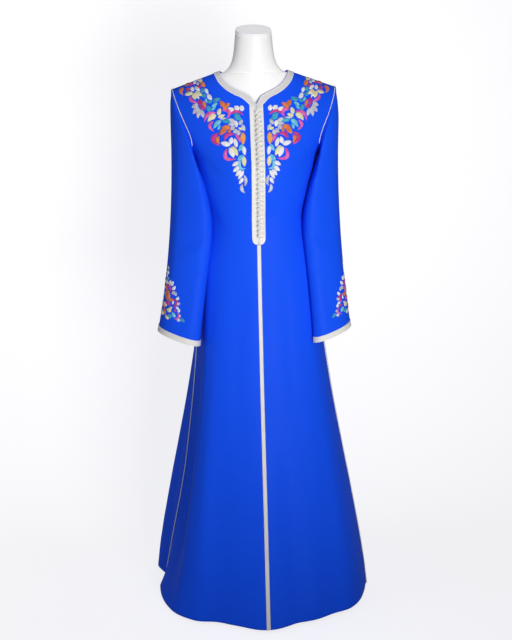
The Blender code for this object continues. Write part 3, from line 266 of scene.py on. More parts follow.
CUFF = [
    ("silver", 237, 956, 237, 961, 238, 966, 4.4), ("white", 239, 943, 238, 949, 237, 955, 5.9),
    ("white", 241, 936, 243, 940, 244, 944, 5.5), ("cyan", 237, 930, 238, 934, 239, 939, 6.5),
    ("teal", 245, 922, 244, 926, 243, 930, 5.7), ("magenta", 248, 906, 247, 912, 246, 918, 4.9),
    ("cyan", 252, 886, 251, 893, 250, 900, 5.5), ("white", 239, 916, 240, 923, 241, 930, 7.5),
    ("silver", 245, 904, 242, 910, 240, 916, 5.2), ("white", 233, 917, 232, 925, 231, 932, 5.9),
    ("white", 230, 916, 227, 923, 223, 930, 6.7), ("white", 227, 907, 222, 912, 218, 918, 7.4),
    ("silver", 227, 895, 223, 900, 219, 905, 7.7), ("silver", 219, 892, 217, 897, 216, 903, 5.6),
    ("white", 216, 881, 212, 886, 209, 891, 7.1), ("silver", 215, 869, 210, 872, 205, 875, 7.7),
    ("white", 216, 864, 212, 861, 207, 857, 6.6), ("white", 209, 849, 208, 854, 206, 859, 6.4),
    ("silver", 208, 839, 205, 841, 202, 843, 5.6), ("silver", 213, 831, 208, 830, 203, 829, 8.4),
    ("teal", 203, 836, 198, 830, 192, 825, 7.9), ("magenta", 243, 896, 237, 917, 230, 899, 6.7),
    ("orange", 238, 876, 238, 892, 238, 908, 11.9), ("orange", 237, 879, 230, 881, 223, 884, 8.5),
    ("magenta", 243, 873, 237, 870, 231, 866, 9.2), ("pink", 237, 876, 235, 871, 233, 865, 5.1),
    ("magenta", 224, 884, 214, 875, 224, 860, 7.4), ("white", 225, 869, 224, 875, 223, 881, 4.1),
    ("white", 241, 861, 244, 867, 247, 872, 6.5), ("cream", 228, 850, 234, 853, 241, 855, 9.8),
    ("cream", 236, 853, 231, 858, 226, 864, 6.4), ("amber", 259, 852, 250, 865, 245, 853, 7),
    ("orange", 247, 854, 245, 846, 243, 838, 6.2), ("white", 254, 835, 256, 841, 259, 844, 6),
    ("white", 253, 835, 249, 843, 246, 850, 5.9), ("silver", 253, 840, 253, 846, 252, 852, 4.4),
    ("cream", 235, 829, 239, 834, 244, 839, 7.7), ("teal", 236, 843, 232, 838, 228, 833, 10),
    ("cyan", 218, 836, 222, 843, 226, 850, 8.7), ("magenta", 222, 857, 218, 854, 215, 851, 5.6),
    ("pink", 214, 849, 207, 839, 222, 830, 5.9), ("silver", 254, 864, 252, 874, 250, 883, 5.2),
    ("white", 259, 842, 260, 845, 259, 851, 4.4),
]


def lerp(a, b, t):
    return a + (b - a) * t


def steps(start, end, count):
    return [lerp(start, end, i / count) for i in range(count)]


def clamp(t):
    return min(1.0, max(0.0, t))


def smooth(t):
    t = clamp(t)
    return t * t * (3 - 2 * t)


def curve_value(xs, ys, x):
    """Smooth curve through the points, with no overshoot between them."""
    if x <= xs[0]:
        return ys[0]
    if x >= xs[-1]:
        return ys[-1]
    i = max(k for k in range(len(xs) - 1) if xs[k] <= x)
    slopes = [(ys[k + 1] - ys[k]) / (xs[k + 1] - xs[k]) for k in range(len(xs) - 1)]

    def tangent(k):
        if k == 0:
            return slopes[0]
        if k == len(xs) - 1:
            return slopes[-1]
        if slopes[k - 1] * slopes[k] <= 0:
            return 0.0
        return 2 * slopes[k - 1] * slopes[k] / (slopes[k - 1] + slopes[k])

    step = xs[i + 1] - xs[i]
    t = (x - xs[i]) / step
    start, end = tangent(i) * step, tangent(i + 1) * step
    rise = ys[i + 1] - ys[i]
    return ys[i] + t * start + t * t * (3 * rise - 2 * start - end) + t ** 3 * (start + end - 2 * rise)


# Distance between the heights at which the sections of the body are kept
SECTION_STEP = 0.002


def section_lists():
    """The body's half width and depths at every 2 mm of height, so that they are quick to look up."""
    heights = [s.z for s in BODY_SECTIONS]
    count = int((BODY_SECTIONS[-1].z - HEM_HEIGHT) / SECTION_STEP) + 2
    found = {}
    for name in ("half_width", "front", "back"):
        values = [getattr(s, name) for s in BODY_SECTIONS]
        found[name] = [curve_value(heights, values, HEM_HEIGHT + SECTION_STEP * i) for i in range(count)]
    return found


SECTION_LISTS = section_lists()


def section(name, z):
    values = SECTION_LISTS[name]
    place = min(len(values) - 1.001, max(0.0, (z - HEM_HEIGHT) / SECTION_STEP))
    i = int(place)
    return values[i] + (values[i + 1] - values[i]) * (place - i)


def shoulder_height(x):
    return NECK_POINT_HEIGHT - (abs(x) - NECK_HALF_WIDTH) * SHOULDER_SLOPE


def signed_power(value, power):
    return math.copysign(abs(value) ** power, value)


def fold_height(angle, z):
    """How far the skirt's folds move the cloth outwards, for an angle from the centre front towards +X."""
    total = 0.0
    for fold in FOLDS:
        off = abs(math.degrees(math.remainder(angle - math.radians(fold.angle), 2 * math.pi)))
        share = (fold.top - z) / (fold.top - HEM_HEIGHT)
        if off < fold.half_width and share > 0:
            fade = share * (1 - (1 - fold.foot) * share ** 6)
            total += fold.height * fade * (0.5 + 0.5 * math.cos(math.pi * off / fold.half_width))
    return total


def skirt_point(angle, z, hand):
    """Outside of the cloth below the yoke line, with the hand's side turned to +X and angle 0 in front."""
    depth = section("front" if math.cos(angle) > 0 else "back", z)
    width = section("half_width", z)
    power = 2 / SECTION_POWER
    x = width * signed_power(math.sin(angle), power)
    y = -depth * signed_power(math.cos(angle), power)
    out = Vector((x / width ** 2, y / depth ** 2, 0)).normalized()
    return Vector((x, y, z)) + out * fold_height(angle * hand, z)


def drop_of(run):
    """How far the cloth has dropped after running this far over the rounded shoulder."""
    if run >= SHOULDER_ROUND_LENGTH:
        return SHOULDER_ROUND_HEIGHT + run - SHOULDER_ROUND_LENGTH
    return SHOULDER_ROUND_HEIGHT * (1 - math.cos(run / SHOULDER_ROUND_LENGTH * math.pi / 2))


def run_of(drop):
    if drop >= SHOULDER_ROUND_HEIGHT:
        return SHOULDER_ROUND_LENGTH + drop - SHOULDER_ROUND_HEIGHT
    return math.acos(1 - max(0.0, drop) / SHOULDER_ROUND_HEIGHT) / (math.pi / 2) * SHOULDER_ROUND_LENGTH


def yoke_point(angle, run, side):
    """Outside of the cloth above the yoke line, at an angle from the centre and a run down from the seam."""
    power = 2 / SECTION_POWER
    drop = drop_of(run)
    across = signed_power(math.sin(angle), power)
    z = NECK_POINT_HEIGHT - drop
    x = 0.0
    for _ in range(9):
        x = section("half_width", z) * across
        z = shoulder_height(x) - drop
    bulge = math.sin(min(1.0, run / SHOULDER_ROUND_LENGTH) * math.pi / 2)
    depth = section(side, z) * abs(math.cos(angle)) ** power * bulge
    return Vector((x, -depth if side == "front" else depth, z))


def angle_of(x, z):
    return math.asin(min(1.0, (abs(x) / section("half_width", z)) ** (SECTION_POWER / 2)))


def yoke_address(x, z):
    """The (angle, run) of a point of the cloth seen from the front at x, z."""
    return angle_of(x, z), run_of(shoulder_height(x) - z)


def side_seam_angle(z, hand):
    skirt, hem = SIDE_SEAM_SWING[hand]
    swing = skirt * (1 - smooth((z - 0.5) / (YOKE_HEIGHT - 0.5)))
    return math.radians(90 + swing + hem * (1 - smooth(z / 0.4)))


def column_angle(column, z, side, hand):
    """Angle of a column of the skirt at a height, counted from the centre front or the centre back."""
    width = section("half_width", z)
    seam = side_seam_angle(z, hand)
    if side == "back":
        seam = math.pi - seam
    seam -= SEAM_GAP / 2 / width
    first = angle_of(lerp(0.028, PLACKET_HALF_WIDTH, smooth(z / PLACKET_BOTTOM)), z)
    if column < 1:
        return lerp(SEAM_GAP / 2 / width if side == "front" else 0.0, first, column)
    return lerp(first, seam, (column - 1) / (COLUMNS - 1))


def yoke_normal(angle, run, side):
    step = 0.0005
    angle = min(angle, math.pi / 2 - step)
    run = max(run, step)
    across = yoke_point(angle + step, run, side) - yoke_point(angle - step, run, side)
    up = yoke_point(angle, run - step, side) - yoke_point(angle, run + step, side)
    out = across.cross(up).normalized()
    return out if side == "front" else -out


def nearest_address(target, angle, run, side):
    """The (angle, run) whose point lies nearest the target, starting from one close to it."""
    step = 0.0005
    for _ in range(12):
        miss = target - yoke_point(angle, run, side)
        by_angle = (yoke_point(angle + step, run, side) - yoke_point(angle - step, run, side)) / (2 * step)
        by_run = (yoke_point(angle, run + step, side) - yoke_point(angle, run - step, side)) / (2 * step)
        aa, ar, rr = by_angle.dot(by_angle), by_angle.dot(by_run), by_run.dot(by_run)
        am, rm = by_angle.dot(miss), by_run.dot(miss)
        spread = aa * rr - ar * ar
        angle += (am * rr - rm * ar) / spread
        run = max(2 * step, run + (rm * aa - am * ar) / spread)
    return angle, run


def neck_edge(side):
    points = FRONT_NECK if side == "front" else BACK_NECK
    edge = [yoke_address(x, z) for x, z in points[:-1]]
    edge.append((angle_of(*points[-1]), SEAM_RUN))
    return edge


def braid_edge(side, neck):
    """The (angle, run) of the neck braid's other edge at each column, and of its end on the shoulder seam."""
    seam_x = NECK_HALF_WIDTH + NECK_BRAID_WIDTH * math.cos(math.atan(SHOULDER_SLOPE))
    edge = []
    for c, (angle, run) in enumerate(neck[:-1]):
        if side == "front" and c < len(SLIT_BRAID_FOOT):
            edge.append(yoke_address(*SLIT_BRAID_FOOT[c]))
            continue
        place = yoke_point(angle, run, side)
        after = yoke_point(*neck[c + 1], side)
        before = yoke_point(*neck[c - 1], side) if c else Vector((-after.x, after.y, after.z))
        down = yoke_normal(angle, run, side).cross(after - before).normalized()
        if down.z > 0:
            down = -down
        edge.append(nearest_address(place + down * NECK_BRAID_WIDTH, angle, run + 0.01, side))
    seam = (angle_of(seam_x, shoulder_height(seam_x)), SEAM_RUN)
    last = edge[-1]
    edge.append((lerp(last[0], seam[0], 0.55), lerp(last[1], seam[1], 0.5)))
    return edge, seam


def yoke_rows(side):
    """Rows of (angle, run) from the yoke line up: a patch between four edges, then the neck's own row."""
    neck = neck_edge(side)
    braid, braid_end = braid_edge(side, neck)
    arm = [yoke_address(x, z) for z, x in ARMHOLE[:-1]]
    tip_x = ARMHOLE[-1][1]
    arm.append((angle_of(tip_x, shoulder_height(tip_x)), SEAM_RUN))
    spans = COLUMNS - NECK_COLUMNS - 1
    seam_top = [braid_end[0]] + [lerp(braid_end[0], arm[-1][0], (i + 1) / spans) for i in range(spans)]
    last_row = neck + [(angle, SEAM_RUN) for angle in seam_top]
    top = list(braid) + [(angle, arm[-2][1]) for angle in seam_top[:-1]] + [arm[-2]]
    foot = []
    for c in range(COLUMNS + 1):
        angle = column_angle(c, YOKE_HEIGHT, side, 1)
        x = section("half_width", YOKE_HEIGHT) * signed_power(math.sin(angle), 2 / SECTION_POWER)
        foot.append((angle, run_of(shoulder_height(x) - YOKE_HEIGHT)))
    right = [foot[-1]]
    for z in YOKE_SIDE_ROWS:
        drop = shoulder_height(section("half_width", z)) - z
        right.append((column_angle(COLUMNS, z, side, 1), run_of(drop)))
    right.append((right[-1][0], arm[0][1]))
    right += arm[1:-1]
    count = len(right) - 1
    left = []
    for r in range(count + 1):
        run = lerp(foot[1][1], top[1][1], r / count)
        left.append((angle_of(PLACKET_HALF_WIDTH, yoke_point(foot[1][0], run, side).z), run))
    left[0], left[-1] = foot[1], top[1]
    rows = [foot]
    for r in range(1, count + 1):
        share_left = (left[r][1] - foot[1][1]) / (top[1][1] - foot[1][1])
        share_right = (right[r][1] - foot[-1][1]) / (top[-1][1] - foot[-1][1])
        line = [(lerp(foot[0][0], top[0][0], share_left), lerp(foot[0][1], top[0][1], share_left))]
        for c in range(1, COLUMNS + 1):
            u = (c - 1) / (COLUMNS - 1)
            v = lerp(share_left, share_right, u)
            place = []
            for k in (0, 1):
                off_left = left[r][k] - lerp(foot[1][k], top[1][k], v)
                off_right = right[r][k] - lerp(foot[-1][k], top[-1][k], v)
                place.append(lerp(foot[c][k], top[c][k], v) + lerp(off_left, off_right, u))
            line.append(tuple(place))
        rows.append(line)
    rows.append(last_row)
    return rows


def through(before, start, end, after, t):
    """A point of the smooth curve from start to end that heads from before and towards after."""
    return 0.5 * (
        2 * start + (end - before) * t + (2 * before - 5 * start + 4 * end - after) * t * t
        + (3 * start - before - 3 * end + after) * t ** 3
    )


def rounded(points, parts):
    """A smooth path through the points, with some parts between each two."""
    path = []
    for i in range(len(points) - 1):
        near = [points[max(0, i - 1)], points[i], points[i + 1], points[min(len(points) - 1, i + 2)]]
        path += [through(*near, t) for t in steps(0, 1, parts)]
    return path + [points[-1]]


def line_distance(x, z, crease):
    """Distance of a point from a crease's line, and how far along the line it lies, from 0 to 1."""
    dx, dz = crease[2] - crease[0], crease[3] - crease[1]
    share = ((x - crease[0]) * dx + (z - crease[1]) * dz) / (dx * dx + dz * dz)
    kept = clamp(share)
    return math.hypot(x - crease[0] - dx * kept, z - crease[1] - dz * kept), kept


def crease_height(creases, x, z):
    total = 0.0
    for crease in creases:
        off, share = line_distance(x, z, crease)
        if off < crease.half_width * 2.4:
            fade = 0.25 + 0.75 * math.sin(math.pi * share) ** 0.7
            total += crease.height * fade * math.exp(-(off / crease.half_width) ** 2 * 1.4)
    return total


class HalfPanel:
    """The smooth outside of one half of the front or back, turned to +X, by column and row."""

    def __init__(self, side, hand):
        self.side = side
        self.hand = hand
        self.yoke = yoke_rows(side)
        self.foot_row = len(SKIRT_ROWS) - 1
        self.last_row = self.foot_row + len(self.yoke) - 1
        self.creases = FRONT_CREASES if side == "front" else BACK_CREASES
        self.known = {}

    def in_row(self, row, column):
        """The (angle, run) at a column of one of the yoke's rows, smooth between its columns."""
        key = (row, round(column, 5))
        if key not in self.known:
            line = self.yoke[row]
            i = min(int(column), COLUMNS - 1)
            low = 1 if i < NECK_COLUMNS else NECK_COLUMNS
            high = NECK_COLUMNS if i < NECK_COLUMNS else COLUMNS
            if i == 0:
                found = tuple(lerp(line[0][k], line[1][k], column) for k in (0, 1))
            else:
                near = [line[max(low, i - 1)], line[i], line[i + 1], line[min(high, i + 2)]]
                found = tuple(through(*(p[k] for p in near), column - i) for k in (0, 1))
            self.known[key] = found
        return self.known[key]

    def base(self, column, row):
        if row <= self.foot_row:
            i = min(int(row), self.foot_row - 1)
            z = lerp(SKIRT_ROWS[i], SKIRT_ROWS[i + 1], row - i)
            angle = column_angle(column, z, self.side, self.hand)
            return skirt_point(angle if self.side == "front" else math.pi - angle, z, self.hand)
        i = min(int(row - self.foot_row), len(self.yoke) - 2)
        t = row - self.foot_row - i
        low, high = self.in_row(i, column), self.in_row(i + 1, column)
        angle, run = lerp(low[0], high[0], t), lerp(low[1], high[1], t)
        return yoke_point(angle, max(run, SEAM_RUN), self.side)

    def place(self, column, row, lift=0.0):
        """The point at a column and row, creased and lifted off the cloth, and the normal there."""
        dc, dr = 0.03, 0.012
        across = self.base(min(column + dc, COLUMNS), row) - self.base(max(column - dc, 0), row)
        up = self.base(column, min(row + dr, self.last_row)) - self.base(column, max(row - dr, 0))
        normal = across.cross(up).normalized()
        if self.side == "back":
            normal = -normal
        point = self.base(column, row)
        fade = smooth((COLUMNS - column) / 2) * smooth((self.last_row - row) / 3)
        crease = crease_height(self.creases, point.x * self.hand, point.z) * fade if fade else 0.0
        return point + normal * (crease + lift), normal

    def row_at(self, z):
        """The row whose centre line point is at this height."""
        low, high = 0.0, float(self.last_row)
        for _ in range(30):
            middle = (low + high) / 2
            if self.base(0.0, middle).z < z:
                low = middle
            else:
                high = middle
        return low


def fine_columns():
    return steps(0, 1, 3) + steps(1, COLUMNS, 4 * (COLUMNS - 1)) + [COLUMNS]


def fine_rows(panel):
    rows = []
    for i in range(panel.foot_row):
        rows += steps(i, i + 1, max(1, round((SKIRT_ROWS[i + 1] - SKIRT_ROWS[i]) / 0.0075)))
    for i in range(panel.foot_row, panel.last_row):
        rows += steps(i, i + 1, 4)
    return rows + [panel.last_row]


def armhole_ring(front, back):
    """Points and normals round the right armhole: shoulder tip, front, underarm, back."""
    first = front.last_row - len(ARMHOLE) + 1
    fronts = [front.place(COLUMNS, first + i) for i in range(len(ARMHOLE))]
    backs = [back.place(COLUMNS, first + i) for i in range(len(ARMHOLE))]

    def joined(a, b):
        return (a[0] + b[0]) / 2, (a[1] + b[1]).normalized()

    return [joined(fronts[-1], backs[-1])] + fronts[-2:0:-1] + [joined(fronts[0], backs[0])] + backs[1:-1]


def clear_of_body(point, hand):
    """Moves a point of the sleeve out of the body, to lie just clear of it and of its side cord."""
    gap = SLEEVE_CLEARANCE + SIDE_CORD_ROOM * (1 - smooth((abs(point.y) - 0.015) / 0.02))
    width = section("half_width", point.z) + gap
    depth = section("front" if point.y < 0 else "back", point.z) + gap
    angle = math.atan2(abs(point.x) / width, -point.y / depth)
    swell = max(0.0, fold_height(angle * hand, point.z)) if point.z < YOKE_HEIGHT else 0.0
    width += swell
    depth += swell
    total = (abs(point.x) / width) ** SECTION_POWER + (abs(point.y) / depth) ** SECTION_POWER
    reach = total ** (1 / SECTION_POWER)
    if reach >= 1:
        return point
    clear = Vector((point.x / reach, point.y / reach, point.z))
    return clear.lerp(point, smooth((point.z - UNDERARM_HEIGHT - 0.005) / 0.04))


def sleeve_rows(ring, hand):
    """Rows of outside points of the right sleeve, from the armhole to the cuff."""
    count = len(ring)
    seam, turned = [], []
    for k, (point, normal) in enumerate(ring):
        along = ring[(k + 1) % count][0] - ring[k - 1][0]
        away = normal.cross(along).normalized()
        seam.append(point + away * SEAM_GAP)
        turned.append(point + away * SLEEVE_TURN)
    rows = [seam, turned]
    first = SLEEVE_RINGS[0]
    reach = Vector((first.outer_x - first.inner_x, 0, first.outer_z - first.inner_z)) / 2
    centre = Vector(((first.outer_x + first.inner_x) / 2, 0, (first.outer_z + first.inner_z) / 2))
    start_turns = []
    for k, (point, _) in enumerate(ring):
        off = point - centre
        turn = math.atan2(-off.y / first.half_depth, off.dot(reach) / reach.dot(reach))
        start_turns.append(turn if k <= count // 2 else turn + 2 * math.pi)
    top = SLEEVE_RINGS[0].outer_z
    length = top - SLEEVE_RINGS[-1].outer_z
    upper, cuff = SLEEVE_OUT[hand]

    def oval(entry, turn):
        down = (top - entry.outer_z) / length
        out = upper * smooth(down / 0.15) * (1 - down) + cuff * down ** 2
        middle_x, middle_z = (entry.outer_x + entry.inner_x) / 2 + out, (entry.outer_z + entry.inner_z) / 2
        half = Vector(((entry.outer_x - entry.inner_x) / 2, 0, (entry.outer_z - entry.inner_z) / 2))
        half.y = half.x * math.sin(math.radians(entry.swing))
        across = half * signed_power(math.cos(turn), 2 / SLEEVE_POWER)
        fore = -entry.half_depth * signed_power(math.sin(turn), 2 / SLEEVE_POWER)
        return Vector((middle_x, entry.centre_y + fore, middle_z)) + across

    for i, entry in enumerate(SLEEVE_RINGS[1:], start=1):
        keep = 1 - smooth(i / SLEEVE_FADE_RINGS)
        row = []
        for k in range(count):
            turn = lerp(2 * math.pi * k / count, start_turns[k], keep)
            point = oval(entry, turn) + (ring[k][0] - oval(first, start_turns[k])) * keep
            row.append(clear_of_body(point, hand) if i > 1 else point)
        rows.append(row)
    return rows


# Fine points of a sleeve for each one of its ring, and the greatest distance between its fine rows
SLEEVE_PARTS = 5
SLEEVE_ROW_STEP = 0.0065


def fine_sleeve(front, back, hand):
    """Fine rows of points of the right sleeve, smooth both ways, and the fine row that each ring became."""
    rows = sleeve_rows(armhole_ring(front, back), hand)
    count = len(rows[0])
    around = []
    for row in rows:
        line = []
        for k in range(count):
            near = [row[k - 1], row[k], row[(k + 1) % count], row[(k + 2) % count]]
            line += [through(*near, t) for t in steps(0, 1, SLEEVE_PARTS)]
        around.append(line)
    fine, marks = [], []
    for r in range(len(around) - 1):
        marks.append(len(fine))
        gap = sum((a - b).length for a, b in zip(around[r], around[r + 1])) / len(around[r])
        parts = 1 if r == 0 else max(2, round(gap / SLEEVE_ROW_STEP))
        for t in steps(0, 1, parts):
            if r < 2:
                fine.append([a.lerp(b, t) for a, b in zip(around[r], around[r + 1])])
                continue
            after = around[min(r + 2, len(around) - 1)]
            fine.append([through(*four, t) for four in zip(around[r - 1], around[r], around[r + 1], after)])
    marks.append(len(fine))
    fine.append(around[-1])
    return fine, marks


def wrapped_normals(rows):
    """Outward normal at each point of rows of points that close round on themselves, as a sleeve's do."""
    normals = []
    for r, row in enumerate(rows):
        low, high = rows[max(r - 1, 0)], rows[min(r + 1, len(rows) - 1)]
        line = []
        for c in range(len(row)):
            across = row[(c + 1) % len(row)] - row[c - 1]
            line.append(across.cross(high[c] - low[c]).normalized())
        normals.append(line)
    middle = sum(rows[-1], Vector()) / len(rows[-1])
    if normals[-1][0].dot(rows[-1][0] - middle) < 0:
        normals = [[-n for n in line] for line in normals]
    return normals


def creased_sleeve(rows, normals):
    """The sleeve's points moved along their normals by its creases, which fade at both ends."""
    count = len(rows[0])
    down = [0.0]
    for a, b in zip(rows, rows[1:]):
        down.append(down[-1] + sum((p - q).length for p, q in zip(a, b)) / count)
    girth = sum((rows[-1][k] - rows[-1][k - 1]).length for k in range(count))
    unit = girth / 20
    creases = [
        Crease(c.turn1 * unit, c.down1, c.turn2 * unit, c.down2, c.half_width, c.height)
        for c in SLEEVE_CREASES
    ]
    moved = []
    for row, line, length in zip(rows, normals, down):
        fade = smooth((length - 0.03) / 0.05) * smooth((down[-1] - length - 0.02) / 0.03)
        moved.append([
            p + n * crease_height(creases, girth * k / count, length) * fade
            for k, (p, n) in enumerate(zip(row, line))
        ])
    return moved


def mirror(point):
    return Vector((-point.x, point.y, point.z))


def add_into(whole, part):
    """Adds a bmesh to another one and frees it."""
    mesh = bpy.data.meshes.new("part")
    part.to_mesh(mesh)
    part.free()
    whole.from_mesh(mesh)
    bpy.data.meshes.remove(mesh)


def lay_uv(bm, spots):
    """A UV map from each vertex's own place on it."""
    uv = bm.loops.layers.uv.new("UVMap")
    for face in bm.faces:
        for loop in face.loops:
            loop[uv].uv = spots[loop.vert]


def new_object(name, bm, *finishes):
    mesh = bpy.data.meshes.new(name)
    bm.to_mesh(mesh)
    bm.free()
    for made in finishes:
        mesh.materials.append(made)
    mesh.shade_smooth()
    obj = bpy.data.objects.new(name, mesh)
    bpy.context.scene.collection.objects.link(obj)
    return obj


# Points nearer than this are one point
WELD = 0.0000005


def grid_mesh(rows, wrap=False, across=None):
    """A grid shaped to rows of points, with a UV map in metres: along each row, and up the rows."""
    columns = len(rows[0]) + (1 if wrap else 0)
    bm = bmesh.new()
    bmesh.ops.create_grid(bm, x_segments=columns - 1, y_segments=len(rows) - 1, size=0.5)
    bm.verts.ensure_lookup_table()
    ups = [0.0]
    for low, high in zip(rows, rows[1:]):
        ups.append(ups[-1] + sum((a - b).length for a, b in zip(low, high)) / len(low))
    spots = {}
    for r, row in enumerate(rows):
        line = row + row[:1] if wrap else row
        run = 0.0
        for c, point in enumerate(line):
            if c:
                run += (point - line[c - 1]).length
            vert = bm.verts[r * columns + c]
            vert.co = point
            spots[vert] = (across[c] if across else run, ups[r])
    lay_uv(bm, spots)
    if wrap:
        bmesh.ops.remove_doubles(bm, verts=bm.verts, dist=WELD)
    return bm


def face_outwards(bm, inside):
    """Turns all faces round if most of them look towards the point inside the piece."""
    bm.normal_update()
    vote = sum((f.calc_center_median() - inside).dot(f.normal) * f.calc_area() for f in bm.faces)
    if vote < 0:
        bmesh.ops.reverse_faces(bm, faces=bm.faces)


def thicken(obj, thickness):
    wall = obj.modifiers.new("Cloth thickness", "SOLIDIFY")
    wall.thickness = thickness
    wall.offset = -1


def ride(obj, *nodes):
    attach(obj, "root")
    if nodes:
        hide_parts(*nodes)


# Across a braid from one edge to the other: share of its half width, and share of its thickness
FLAT_BRAID_SIDE = [(1.0, 0.35), (0.97, 0.85), (0.90, 1.0), (0.80, 0.95), (0.73, 0.62), (0.45, 0.74)]
NARROW_BRAID_SIDE = [(1.0, 0.3), (0.90, 0.85), (0.62, 1.0), (0.30, 0.88)]


def braid_profile(side, middle_height, foot):
    """The whole profile from one side of it, its height in the middle and where it meets the cloth."""
    left = [(-share, height) for share, height in side]
    return left + [(0.0, middle_height)] + side[::-1] + [(foot, 0.0), (-foot, 0.0)]


FLAT_BRAID = braid_profile(FLAT_BRAID_SIDE, 0.80, 0.985)
NARROW_BRAID = braid_profile(NARROW_BRAID_SIDE, 0.62, 0.97)


def ribbon(name, stations, profile, thickness, half_width, made, closed=False):
    """A braid over stations along it, each a function from the share across to a point and its normal."""
    rows = []
    for station in stations:
        row = []
        for share, height in profile:
            point, normal = station(share)
            row.append(point + normal * (SEAM_GAP + height * thickness))
        rows.append(row)
    if closed:
        rows.append(rows[0])
    across = [share * half_width for share, _ in profile] + [profile[0][0] * half_width]
    bm = grid_mesh(rows, wrap=True, across=across)
    if closed:
        bmesh.ops.remove_doubles(bm, verts=bm.verts, dist=WELD)
    else:
        ends = [e for e in bm.edges if e.is_boundary]
        bmesh.ops.holes_fill(bm, edges=ends, sides=0)
    bmesh.ops.recalc_face_normals(bm, faces=bm.faces)
    return new_object(name, bm, made)


def cord_mesh(name, path, radius, made):
    """A round cord along a path, made a mesh with its caps welded and a UV map in metres from its curve."""
    data = bpy.data.curves.new(name, "CURVE")
    data.dimensions = "3D"
    data.bevel_depth = radius
    data.bevel_resolution = 1
    data.use_fill_caps = True
    spline = data.splines.new("POLY")
    spline.points.add(len(path) - 1)
    for point, place in zip(spline.points, path):
        point.co = (*place, 1)
    guide = bpy.data.objects.new(name + "_guide", data)
    bpy.context.scene.collection.objects.link(guide)
    bpy.context.view_layer.update()
    graph = bpy.context.evaluated_depsgraph_get()
    mesh = bpy.data.meshes.new_from_object(guide.evaluated_get(graph))
    bpy.data.objects.remove(guide, do_unlink=True)
    bm = bmesh.new()
    bm.from_mesh(mesh)
    bpy.data.meshes.remove(mesh)
    bmesh.ops.remove_doubles(bm, verts=bm.verts, dist=0.00001)
    bmesh.ops.recalc_face_normals(bm, faces=bm.faces)
    return new_object(name, bm, made)


# Points of a strand in each of its turns, and its distance from the cord's middle and own radius as shares
STRAND_POINTS = 7
STRAND_OFFSET = 0.46
STRAND_RADIUS = 0.54


def twisted_strands(path, normals, radius, pitch):
    """Two strands that wind round a path, each a list of points."""
    lengths = [0.0]
    for a, b in zip(path, path[1:]):
        lengths.append(lengths[-1] + (b - a).length)
    count = max(8, int(lengths[-1] / pitch * STRAND_POINTS))
    strands = [[], []]
    i = 0
    for n in range(count + 1):
        run = lengths[-1] * n / count
        while i < len(path) - 2 and lengths[i + 1] < run:
            i += 1
        t = (run - lengths[i]) / (lengths[i + 1] - lengths[i])
        centre = path[i].lerp(path[i + 1], t)
        normal = normals[i].lerp(normals[i + 1], t).normalized()
        side = (path[i + 1] - path[i]).cross(normal).normalized()
        for k in range(2):
            turn = 2 * math.pi * (run / pitch + k / 2)
            out = normal * math.cos(turn) + side * math.sin(turn)
            strands[k].append(centre + out * radius * STRAND_OFFSET)
    return strands


def joined(name, objects):
    """One object from several that share their materials in the same order."""
    bm = bmesh.new()
    finishes = list(objects[0].data.materials)
    for obj in objects:
        bm.from_mesh(obj.data)
        bpy.data.meshes.remove(obj.data)
    return new_object(name, bm, *finishes)


class Cloth:
    """The four half panels and both sleeves, made once and used by every operator."""

    panels = {}
    sleeves = {}

    @classmethod
    def panel(cls, side, hand):
        if (side, hand) not in cls.panels:
            cls.panels[side, hand] = HalfPanel(side, hand)
        return cls.panels[side, hand]

    @classmethod
    def sleeve(cls, hand):
        """(points, normals, marks) of a sleeve, turned to +X."""
        if hand not in cls.sleeves:
            rows, marks = fine_sleeve(cls.panel("front", hand), cls.panel("back", hand), hand)
            rows = creased_sleeve(rows, wrapped_normals(rows))
            cls.sleeves[hand] = (rows, wrapped_normals(rows), marks)
        return cls.sleeves[hand]


def hand_name(hand):
    return "right" if hand > 0 else "left"


def turned(point, hand):
    return point if hand > 0 else mirror(point)


def sizes():
    return bpy.context.scene.kaftan_sizes


def colours():
    return bpy.context.scene.kaftan_colours


# Finishes: one node group for each effect, placed in the materials with its own values

